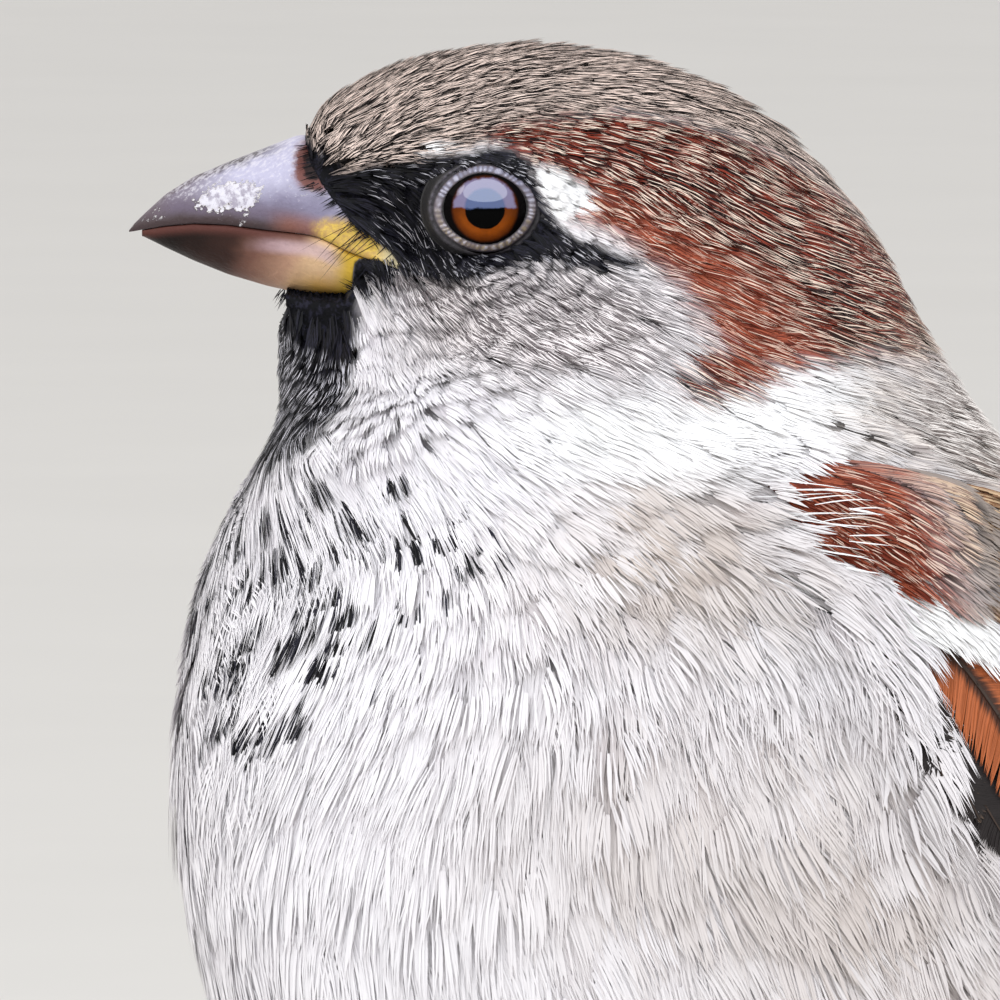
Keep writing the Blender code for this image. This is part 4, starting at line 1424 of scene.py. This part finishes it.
def upper_horn_paint():
    """Lilac grey horn with a slate ridge, a pale flake, a dark edge at the mouth and a yellow gape."""
    paint = Paint("upper horn")
    along_y, height, lift = paint.parts("horn")
    fine = paint.noise(2.6, 5.0, 0.65)
    wide = paint.noise(0.55, 3.0, 0.55)
    scratch = paint.noise(1.2, 4.0, 0.6, (4.0, 0.6, 4.0))
    ridge = (height - 0.25 * (wide - 0.5)).rise(0.86, 0.97) * (1 - along_y.rise(-12.5, -10.0))
    mouth = (1 - (lift + 0.6 * (wide - 0.5)).rise(0.9, 1.9)) * (1 - along_y.rise(-11.5, -8.5))
    edge = 1 - (lift + 0.5 * (wide - 0.5)).rise(0.3, 1.0)
    field = 1.0 - abs(along_y + 13.7).rise(0.6, 2.4)
    field = field - abs(lift - 1.7 - 0.2 * (along_y + 13.7)).rise(0.2, 1.1)
    flake = field + 1.1 * (fine - 0.5) + 1.3 * (wide - 0.5) + 1.9 * (scratch - 0.5)
    under = (flake + 0.12).rise(0.25, 0.4) * (1 - lift.rise(1.2, 1.7))
    nostril = 1 - abs(along_y + 9.1 + 0.8 * (fine - 0.5)).rise(0.2, 1.3)
    nostril = nostril * (1 - abs(lift - 3.9 + 0.8 * (wide - 0.5)).rise(0.4, 1.7))
    flange = (along_y + 0.9 * (wide - 0.5)).rise(-9.4, -8.0)
    flange = flange * (1 - (lift - 0.5 * (along_y + 8.0)).rise(0.9, 1.7))
    brown = (1 - abs(along_y + 9.6).rise(0.6, 2.4)) * (1 - lift.rise(0.5, 1.5))
    colour = paint.over(
        paint.mix((124, 118, 142), (184, 181, 204), (height + 0.6 * (wide - 0.5)).rise(0.2, 0.75)),
        ((62, 54, 60), ridge),
        ((96, 82, 92), 0.75 * (1 - (along_y + 2.0 * (wide - 0.5)).rise(-16.4, -13.4))),
        ((210, 206, 214), (scratch + 0.3 * height).rise(0.7, 0.88) * 0.6),
        ((98, 86, 104), mouth),
        ((92, 78, 84), (1 - along_y.rise(-18.6, -16.6)) * 0.8),
        ((58, 42, 44), edge * (1 - along_y.rise(-12.4, -8.8) * 0.5)),
        ((66, 54, 60), under * 0.8),
        (paint.mix((160, 153, 168), (214, 211, 220), fine.rise(0.38, 0.58)), flake.rise(0.28, 0.42)),
        ((226, 221, 220), flake.rise(0.28, 0.4) * (1 - flake.rise(0.42, 0.52))),
        ((118, 72, 66), nostril.rise(0.0, 0.5)),
        # Painted shade: the nostril's middle is made near black, as in its hollow.
        ((44, 24, 24), nostril.rise(0.8, 1.0)),
        ((128, 74, 52), brown * 0.7),
        ((190, 152, 82), flange),
        ((214, 180, 76), flange * fine.rise(0.4, 0.6)),
        ((214, 200, 160), flange * along_y.rise(-5.6, -4.4)),
    )
    relief = fine * 0.4 + wide + flake.rise(0.30, 0.42) * 0.5 + scratch * 0.6
    return horn(paint, colour, scratch, relief, 0.3, 0.3, 0.4)


def lower_horn_paint():
    """Dark brown horn before and above, its front darkened further as painted shade; flesh to tan behind
    with a painted pinkish highlight band; yellow at the root.
    """
    paint = Paint("lower horn")
    along_y, height, lift = paint.parts("horn")
    fine = paint.noise(2.4, 4.0, 0.6)
    wide = paint.noise(0.5, 3.0, 0.5)
    scratch = paint.noise(1.2, 4.0, 0.6, (4.0, 0.6, 4.0))
    back = along_y + 2.0 * (wide - 0.5) + 1.4 * (height - 0.6)
    colour = paint.over(
        # The front: dark brown horn, darkened further as painted shade.
        paint.mix((24, 13, 10), (52, 32, 27), back.rise(-17.0, -14.0)),
        ((118, 82, 70), back.rise(-14.2, -12.0)),
        ((182, 142, 118), back.rise(-12.4, -10.4)),
        ((218, 182, 142), back.rise(-10.8, -9.0)),
        # Painted highlight: a pinkish band along the upper half of the lower mandible.
        ((204, 178, 190), (1 - abs(lift + 0.8).rise(0.15, 0.7)) * back.rise(-13.4, -11.0) * 0.6),
        ((216, 168, 84), back.rise(-10.4, -8.2) * height.rise(0.5, 0.9)),
        ((214, 176, 66), along_y.rise(-8.2, -6.9)),
        ((92, 54, 48), (1 + lift).rise(0.2, 0.85) * (1 - along_y.rise(-9.8, -8.4)) * 0.9),
    )
    return horn(paint, colour, scratch, fine * 0.4 + wide + scratch * 0.6, 0.36, 0.26, 0.15)


# ---------------------------------------------------------------- the eyes


def make_eye(name, side, finish):
    """A ball that looks straight out of its side of the head."""
    rows, columns = 90, 96
    polar, round_ = round_grid(0.012, math.pi - 0.012, rows, columns)
    radius = EYE_RADIUS * np.sin(polar)
    cornea = 0.22 * np.exp(-((radius / 1.9) ** 2)) * (np.cos(polar) > 0)
    out = EYE_RADIUS * np.cos(polar) + cornea
    x = side * (EYE_X + out)
    y = EYE_Y + radius * np.cos(round_)
    z = EYE_Z + radius * np.sin(round_)
    rings = turned(x, y, z, HEAD_TURN)
    rings = rings if side < 0 else rings[:, ::-1]
    marks = stacked(np.where(out > 0, radius, 5.0), radius * np.sin(round_), radius * np.cos(round_))
    piece = loft(name, rings, {"iris": marks if side < 0 else marks[:, ::-1]})
    finished(piece, finish, "eye", name.replace("ball_", "eye_"))


def eye_paint():
    """A black pupil in a brown iris that is painted lighter below as though lit through the cornea from
    above, with a painted sky reflection over the upper half, under a wet front that shines most above.
    """
    paint = Paint("eye")
    radius, up, ahead = paint.parts("iris")
    fine = paint.noise(2.2, 3.0, 0.6)
    rays = paint.noise(1.4, 4.0, 0.6)
    ring = radius + 0.12 * (fine - 0.5)
    # Painted light: the iris is made lighter towards its lower part, where light through the cornea would
    # fall.
    painted_light_below = (0.5 - 0.35 * up).rise(0.1, 0.95)
    iris = paint.over(
        paint.mix((52, 22, 8), (150, 74, 18), painted_light_below * (0.6 + 0.8 * (rays - 0.3))),
        ((84, 38, 10), ring.rise(1.3, 1.8) * 0.8),
        ((7, 5, 6), ring.rise(1.72, 1.98)),
    )
    # Painted reflection: a blue to lilac sky laid into the colour over the upper half, where the coat also
    # shines.
    sky_reflection_share = (up + 0.5 * (rays - 0.5)).rise(-0.02, 0.14)
    sky_reflection_share = sky_reflection_share * (1 - (radius + 0.5 * (rays - 0.5)).rise(1.7, 1.9))
    sky = paint.mix((34, 70, 132), (104, 98, 144), ring.rise(1.1, 1.3))
    colour = paint.mix(paint.mix((2, 2, 2), iris, ring.rise(1.1, 1.18)), sky, sky_reflection_share * 0.8)
    return paint.finish(
        base_color=colour, roughness=0.35 + 0.1 * fine, specular_ior_level=0.0,
        coat_weight=0.02 + 0.98 * sky_reflection_share, coat_roughness=0.045, coat_ior=2.1,
    )


def make_lids(name, side, finish):
    """The beaded ring of bare skin round the eye, with a second fold before and above it."""
    rows, columns = 34, 300
    share, round_ = round_grid(0.0, 1.0, rows, columns)
    radius = blend(2.12, 3.7, share)
    drift = 1.3 * np.sin(round_ * 3.0 + 0.7) + 0.9 * np.sin(round_ * 7.0)
    drift = drift + 0.6 * np.sin(round_ * 11.0 + 2.0)
    uneven = 0.56 + 0.24 * np.sin(round_ * 5.0 + 1.0) + 0.2 * np.sin(round_ * 13.0 + 4.0)
    bead = (0.5 + 0.5 * np.cos(round_ * 46 + 1.9 * drift + 3.0 * (radius - 2.6))) * uneven
    cracks = 0.5 + 0.5 * np.cos(round_ * 29 - drift * 1.6)
    middle = 2.66 + 0.05 * np.sin(round_ * 4.0 + 1.0)
    ridge = np.exp(-(np.abs((radius - middle) / 0.23) ** 3.0))
    fold_side = 0.35 + 0.65 * np.clip(np.cos(round_ - 0.82 * math.pi), 0, 1)
    second = np.exp(-(((radius - 3.16) / 0.16) ** 2)) * fold_side * (0.75 + 0.25 * cracks)
    y = EYE_Y + radius * np.cos(round_)
    z = EYE_Z + LID_OVAL * radius * np.sin(round_)
    ball = EYE_X + np.sqrt(EYE_RADIUS**2 - np.minimum(np.hypot(y - EYE_Y, z - EYE_Z), 3.2) ** 2)
    out = np.maximum(8.95 - 0.5 * (radius - 2.3), ball * (radius < 3.0) + 0.04)
    out = out + ridge * (0.12 + 0.16 * bead) + 0.22 * second
    out = out - 1.2 * (1.0 - ease(2.12, 2.36, radius)) - 0.8 * ease(3.25, 3.7, radius)
    rings = turned(side * out, y, z, HEAD_TURN)
    faces = grid_faces(rows, columns)
    faces = faces if side > 0 else faces[:, ::-1]
    marks = stacked(ridge * (0.35 + 0.65 * bead), share, second).reshape(-1, 3)
    above = stacked(np.sin(round_), np.cos(round_), ridge).reshape(-1, 3)
    piece = new_mesh(name, rings.reshape(-1, 3), faces, {"lid": marks, "lid_place": above})
    return finished(piece, finish, "head_feather")


def lid_paint():
    """Grey beads, lilac above and tan below, between black skin and a dark second fold."""
    paint = Paint("bare ring of the eye")
    bead, share, second = paint.parts("lid")
    up, back, ridge = paint.parts("lid_place")
    fine = paint.noise(3.0, 3.0, 0.6)
    ring = paint.mix((150, 134, 110), (132, 131, 152), up.rise(-0.6, 0.6))
    ring = paint.mix(ring, (178, 175, 190), (fine + 0.35 * bead).rise(0.6, 0.85) * 0.8)
    ring = paint.mix((98, 88, 96), ring, bead.rise(0.2, 0.62))
    colour = paint.over(
        paint.mix((26, 22, 26), ring, ridge.rise(0.15, 0.7)),
        ((88, 82, 92), second * fine.rise(0.3, 0.7)),
        ((16, 14, 16), share.rise(0.62, 0.76)),
    )
    colour = paint.mix((12, 9, 9), colour, share.rise(0.1, 0.2))
    bump = paint.bump(fine, 0.05)
    return paint.finish(
        base_color=paint.scaled(colour, 0.8 + 0.4 * fine), roughness=0.4 + 0.2 * fine, normal=bump
    )


# ---------------------------------------------------------------- legs and feet

HEEL = (11.2, 31.0, 20.8)
FOOT = (12.4, 22.0)
THIGH_TOP, THIGH_TOP_RADIUS, THIGH_END_RADIUS = (10.6, 27.0, 36.0), 6.2, 1.9
TOES = {
    # degrees from straight ahead, length, claw's length
    "inner": (40.0, 8.6, 3.9),
    "middle": (0.0, 13.2, 4.6),
    "outer": (-40.0, 9.4, 3.9),
    "hind": (180.0, 7.6, 6.0),
}
TOE_START, TOE_RADIUS, TOE_HEIGHT = 2.95, 0.72, 0.68
THIGH_COAT_DEPTH = 0.7


def limb(name, path, radii, sides, scute=0.0, floor=None, marks=None):
    """A tube along a path, with rings of scales, pressed flat where it meets the floor."""
    path, radii = np.asarray(path, float), np.asarray(radii, float)
    ways = unit(np.gradient(path, axis=0))
    side = np.cross(ways, (0.0, 0.0, 1.0))
    side = np.where(np.linalg.norm(side, axis=1, keepdims=True) < 0.3, np.array([[1.0, 0.0, 0.0]]), side)
    side = unit(side)
    over = np.cross(side, ways)
    angle = np.arange(sides) * 2 * math.pi / sides
    length = np.concatenate([[0.0], np.cumsum(np.linalg.norm(np.diff(path, axis=0), axis=1))])
    plate = np.mod(length / 0.95, 1.0)[:, None]
    front = np.clip(np.sin(angle) * (1 if abs(ways[0][2]) < 0.5 else -1), 0, 1)
    swell = 1.0 + scute * (plate**1.5 - 0.5) * front
    rings = path[:, None] + (radii[:, None] * swell)[..., None] * (
        np.cos(angle)[:, None] * side[:, None] + np.sin(angle)[:, None] * over[:, None]
    )
    if floor is not None:
        rings[..., 2] = np.maximum(rings[..., 2], floor)
    shade = stacked(plate + 0 * angle, front + 0 * plate, (length / length[-1])[:, None] + 0 * angle)
    return loft(name, rings, {"scale": shade})


def make_leg(name, side, leg_finish, claw_finish):
    sign = np.array((side, 1.0, 1.0))
    heel, foot = np.array(HEEL) * sign, np.array((FOOT[0], FOOT[1], 0.0)) * sign
    heights = np.linspace(HEEL[2] + 2.0, 0.0, 90)
    widths = np.interp(
        heights, [0, 1.2, 2.6, 4.4, 7.0, 17.5, 20.5, 22.8], [1.7, 2.2, 1.75, 1.15, 0.9, 0.92, 1.3, 1.5]
    )
    part = 1.0 - np.clip((heights - 3.0) / (HEEL[2] - 3.0), 0.0, 1.1)
    centre = heel + (foot - heel) * part[:, None]
    centre[:, 2] = heights
    finished(
        limb("shank_scales_" + name, centre, widths, 32, 0.10), leg_finish, "leg_scale", "shank_" + name
    )
    toes, claws = [], []
    for toe, (degrees, length, claw) in TOES.items():
        heading = math.radians(degrees) * side
        ahead = np.array((-math.sin(heading), -math.cos(heading), 0.0))
        share = np.linspace(0.0, 1.0, 60)
        knuckle = 0.10 * np.cos(share * 6 * math.pi)
        path = foot + ahead * ((TOE_START - 1.6) + (length + 0.3 - TOE_START + 1.6) * share)[:, None]
        path[:, 2] = TOE_HEIGHT + 0.12 * knuckle
        radii = (TOE_RADIUS + knuckle) * (1.0 - 0.18 * share) * np.sqrt(np.clip(1.03 - share**14, 0, 1))
        toes.append(limb(f"toe_{toe}_{name}_scales", path, radii, 24, 0.16, floor=0.0))
        share = np.linspace(0.0, 1.0, 40)
        path = foot + ahead * (length - 0.3 + (0.3 + claw) * share)[:, None]
        path[:, 2] = 0.86 + 0.66 * np.sin(share * math.pi * 0.62) - 1.12 * share**2
        claws.append(limb(f"claw_{toe}_{name}_horn", path, 0.5 - 0.44 * share**0.9, 20, 0.0, floor=0.0))
    finished(
        joined("toe_scales_" + name, toes), leg_finish, "leg_scale", *(f"toe_{toe}_{name}" for toe in TOES)
    )
    finished(
        joined("claw_horn_" + name, claws), claw_finish, "claw_horn",
        *(f"claw_{toe}_{name}" for toe in TOES),
    )


def leg_paint():
    """Flesh brown, with a darker line between the scutes in front."""
    paint = Paint("scaled leg")
    plate, front, share = paint.parts("scale")
    fine = paint.noise(1.5, 3.0, 0.6)
    colour = paint.mix((150, 112, 98), (186, 146, 128), fine.rise(0.3, 0.7))
    colour = paint.mix(colour, (108, 78, 68), plate.rise(0.86, 0.97) * front)
    bump = paint.bump(fine, 0.08)
    return paint.finish(base_color=colour, roughness=0.5 + 0.2 * fine, normal=bump)


def claw_paint():
    """Horn that darkens to the claw's point."""
    paint = Paint("claw")
    plate, front, share = paint.parts("scale")
    fine = paint.noise(1.2, 3.0, 0.6)
    colour = paint.mix((120, 96, 84), (48, 38, 36), share.rise(0.1, 0.8))
    colour = paint.scaled(colour, 0.85 + 0.3 * fine)
    return paint.finish(base_color=colour, roughness=0.3 + 0.15 * fine, normal=paint.bump(fine, 0.03))


class Drumstick:
    """The feathered leg's outer surface, from the belly (0) to the heel (1), looked up as Surface is."""

    def __init__(self, side):
        sign = np.array((side, 1.0, 1.0))
        self.side = side
        self.top, self.heel = np.array(THIGH_TOP) * sign, (np.array(HEEL) + (0, 0, 0.6)) * sign

    def unwrap(self, share, angle):
        """The thighs' place on the unwrap is past the tail's end."""
        row = np.mod(angle, math.tau) / math.tau * 0.48 + (0.01 if self.side > 0 else 0.51)
        return stacked(0.95 + 0.04 * share, row)

    def point(self, share, angle):
        way = unit(self.heel - self.top)
        side = unit(np.cross(way, (0.0, 1.0, 0.0)))
        over = np.cross(side, way)
        radius = (
            THIGH_TOP_RADIUS + (THIGH_END_RADIUS + 0.3 - THIGH_TOP_RADIUS) * np.clip(share, 0, 1.3) ** 0.8
        )[..., None]
        round_ = np.cos(angle)[..., None] * side + np.sin(angle)[..., None] * over
        return self.top + (self.heel - self.top) * share[..., None] + radius * round_

    def steps(self, share, angle):
        step = 0.01
        down = (self.point(share + step, angle) - self.point(share - step, angle)) / (2 * step)
        round_ = (self.point(share, angle + step) - self.point(share, angle - step)) / (2 * step)
        return down, round_

    def place_normal(self, share, angle):
        share, angle = np.maximum(share, 0.02), np.asarray(angle)
        down, round_ = self.steps(share, angle)
        normal = unit(np.cross(round_, down))
        middle = self.top + (self.heel - self.top) * share[..., None]
        place = self.point(share, angle)
        outward = np.sum(normal * (place - middle), axis=-1, keepdims=True)
        return place, np.where(outward < 0, -normal, normal)


def thigh_markings(share, angle):
    """The thigh's plumage is that of the hind belly beside it."""
    return markings(np.full(np.shape(share), 12.5), np.full(np.shape(share), math.radians(125)))


def make_thigh_coat(name, side, finish):
    chance = np.random.default_rng(SEED + (21 if side > 0 else 22))
    surface = Drumstick(side)
    rows = []
    for share in np.linspace(0.1, 0.86, 9):
        number = int(blend(24, 11, share))
        rows.extend(
            (share + chance.normal(0, 0.02), math.tau * (i + chance.random()) / number)
            for i in range(number)
        )
    share, angle = np.array(rows).T
    strands = Strands()
    depth = np.full(len(share), THIGH_COAT_DEPTH)
    feather = (blend(6.5, 3.0, share), blend(1.9, 1.0, share), depth * 0.3, depth)
    lay_feathers(
        strands, chance, surface, (share, angle, 0 * share), thigh_markings, feather, (30, 0.15, 4, 0.5)
    )
    finished(strands.make("coat_thigh_" + name), finish, "body_feather")


def thigh_skin(name, side):
    """The skin of the thigh, a cone under its feathers."""
    rows, columns = 24, 28
    surface = Drumstick(side)
    share, angle = round_grid(0.0, 1.0, rows, columns)
    place, normal = surface.place_normal(share, angle)
    place = place - normal * THIGH_COAT_DEPTH
    marks = {key: values.reshape(-1, 3) for key, values in thigh_markings(share, angle).items()}
    faces = grid_faces(rows, columns)
    uv = surface.unwrap(share, angle).reshape(-1, 2)
    return new_mesh(name, place.reshape(-1, 3), faces if side < 0 else faces[:, ::-1], marks, uv)


# ---------------------------------------------------------------- bristles of the gape


BRISTLES = (
    # number, root y and z of the first and the last, spread, heading in degrees, length, height, width
    (13, (-6.9, 101.7), (-4.6, 100.0), 0.30, -143.0, (2.0, 4.0), 0.7, 0.05),
    (26, (-9.2, 106.0), (-8.7, 103.6), 0.25, -170.0, (0.5, 1.1), 0.35, 0.06),
    (44, (-8.8, 103.8), (-5.4, 100.6), 0.22, -155.0, (0.4, 1.1), 0.25, 0.055),
    (60, (-6.6, 97.5), (-4.6, 98.4), 0.30, 150.0, (0.4, 1.1), 0.6, 0.06),
    (40, (-10.9, 97.3), (-7.0, 97.0), 0.15, -125.0, (0.5, 1.3), 0.1, 0.06),
)


def make_bristles(finish):
    """Fine black bristles that cross the gape, and the short ones round the bill's margin."""
    chance = np.random.default_rng(SEED + 31)
    lines, sides, thick = [], [], []
    step = np.linspace(0.0, 1.0, 4)
    for side in (-1.0, 1.0):
        for number, first, last, spread, heading, lengths, height, width in BRISTLES:
            for share in (np.arange(number) + chance.random(number)) / number:
                root_y = blend(first[0], last[0], share) + chance.normal(0, spread * 0.5)
                root_z = blend(first[1], last[1], share) + chance.normal(0, spread * 0.5)
                length = chance.uniform(*lengths)
                way = math.radians(heading + chance.normal(0, 6))
                y = root_y + length * step * math.cos(way)
                z = root_z + length * step * math.sin(way) - 0.06 * length * step**2
                edge = bill_width(y, z, 0.1)
                x = side * (edge + 0.15 + height * np.sin(step * 1.9) * chance.uniform(0.5, 1.0))
                lines.append(turned(x, y, z, HEAD_TURN))
                sides.append(side)
                thick.append(width * chance.uniform(0.8, 1.2))
    lines, sides, thick = np.array(lines), np.array(sides), np.array(thick)
    outward = np.array([math.cos(HEAD_TURN), math.sin(HEAD_TURN), 0.0]) * sides[:, None, None] + 0 * lines
    ways = unit(np.cross(unit(np.gradient(lines, axis=1)), outward))
    count = len(lines)
    widths = thick[:, None] * np.array([1.0, 0.9, 0.6, 0.0])
    place = stacked(np.tile(step, (count, 1)), np.tile(step * 0.5, (count, 1)), np.zeros((count, 4)))
    random = np.repeat(chance.random((count, 1, 3)) * 0.8, 4, axis=1)
    dark = markings(np.full(count, 2.4), np.radians(np.full(count, 75.0)))
    attributes = {key: np.repeat(values[:, None], 4, axis=1) for key, values in dark.items()}
    attributes.update(strand=place, chance=random)
    station = np.full((count, 4), 2.4)
    angle = np.radians(
        np.where(sides[:, None] > 0, 70.0, 266.0) + np.arange(count)[:, None] * 0.05 + np.zeros(4)
    )
    strands = Strands()
    root = body_unwrap(station, angle)
    strands.add(lines, ways, outward, widths, attributes, bake_patch(root, 0 * station, 0 * station + step))
    finished(strands.make("bristles"), finish, "head_feather")


# ---------------------------------------------------------------- the room


def make_room():
    data = bpy.data.meshes.new("floor")
    reach = 9.0
    data.from_pydata(
        [(-reach, -reach, 0), (reach, -reach, 0), (reach, reach, 0), (-reach, reach, 0)], [], [(0, 1, 2, 3)]
    )
    floor = bpy.data.objects.new("floor", data)
    bpy.context.scene.collection.objects.link(floor)
    paint = Paint("pale floor")
    grain = paint.noise(0.02, 3.0, 0.5)
    colour = paint.mix((212, 211, 208), (218, 217, 214), grain)
    floor.data.materials.append(paint.finish(base_color=colour, roughness=0.8 + 0.1 * grain))

    world = bpy.data.worlds.new("studio")
    world.use_nodes = True
    world.node_tree.nodes["Background"].inputs["Color"].default_value = (1.0, 0.985, 0.98, 1.0)
    world.node_tree.nodes["Background"].inputs["Strength"].default_value = 0.9
    bpy.context.scene.world = world

    eye = (Vector(EYE_BOX[0]) + Vector(EYE_BOX[1])) / 2
    for name, place, size, power, colour in (
        ("sky", (0.42, -0.34, 0.55), (1.5, 0.62), 4.0, (0.86, 0.93, 1.0)),
        ("front", (-0.5, -1.3, 1.0), (0.9, 0.9), 3.4, (1.0, 0.95, 0.88)),
        ("behind", (0.3, 1.5, 1.3), (1.2, 1.0), 5.0, (1.0, 0.98, 0.95)),
    ):
        lamp = bpy.data.lights.new(name, "AREA")
        lamp.shape, lamp.energy, lamp.color = "ELLIPSE", power, colour
        lamp.size, lamp.size_y = size
        holder = bpy.data.objects.new(name, lamp)
        holder.location = place
        holder.visible_camera = False
        holder.rotation_euler = (eye - Vector(place)).to_track_quat("-Z", "Y").to_euler()
        bpy.context.scene.collection.objects.link(holder)


VIEW_AZIMUTH, VIEW_ELEVATION = math.radians(55.0), math.radians(4.0)
VIEW_DISTANCE, VIEW_WIDTH = 1.2, 57.14 * MM
EYE_ASIDE, EYE_ABOVE = -0.86 * MM, 16.8 * MM  # the eye's place from the middle of the view


def make_camera():
    """A long lens aimed at the breast just below the head."""
    ahead = Vector((-math.sin(VIEW_AZIMUTH), math.cos(VIEW_AZIMUTH), 0.0)) * math.cos(VIEW_ELEVATION)
    ahead.z = -math.sin(VIEW_ELEVATION)
    right = Vector((math.cos(VIEW_AZIMUTH), math.sin(VIEW_AZIMUTH), 0.0))
    above = right.cross(ahead)
    eye = (Vector(EYE_BOX[0]) + Vector(EYE_BOX[1])) / 2
    target = eye - right * EYE_ASIDE - above * EYE_ABOVE
    data = bpy.data.cameras.new("camera")
    data.sensor_width = 36.0
    data.lens = data.sensor_width * VIEW_DISTANCE / VIEW_WIDTH
    data.clip_start, data.clip_end = 0.05, 30.0
    camera = bpy.data.objects.new("camera", data)
    camera.location = target - ahead * VIEW_DISTANCE
    camera.rotation_euler = ahead.to_track_quat("-Z", "Y").to_euler()
    bpy.context.scene.collection.objects.link(camera)
    bpy.context.scene.camera = camera


LIGHT_BOUNCES = 3


def main():
    coat, ball, lids, leg, claw = coat_paint(), eye_paint(), lid_paint(), leg_paint(), claw_paint()
    make_skin(skin_paint())
    make_coat(coat)
    vanes = {name: vane_paint(name.replace("_", " "), *colours) for name, colours in VANE_COLOURS.items()}
    for name, side in (("left", 1.0), ("right", -1.0)):
        make_wing(name, side, vanes)
        make_small_coverts(name, side, coat)
        make_eye("ball_" + name, side, ball)
        make_lids("eyelids_" + name, side, lids)
        make_leg(name, side, leg, claw)
        make_thigh_coat(name, side, coat)
    make_tail(vanes["tail"])
    make_bill(upper_horn_paint(), lower_horn_paint())
    make_bristles(coat)
    make_room()
    make_camera()
    bpy.context.scene.view_settings.view_transform = "Standard"
    light = bpy.context.scene.cycles
    light.diffuse_bounces = light.glossy_bounces = LIGHT_BOUNCES
    light.use_light_tree = False  # few lamps and many thin barbs
    light.debug_use_spatial_splits = True


main()
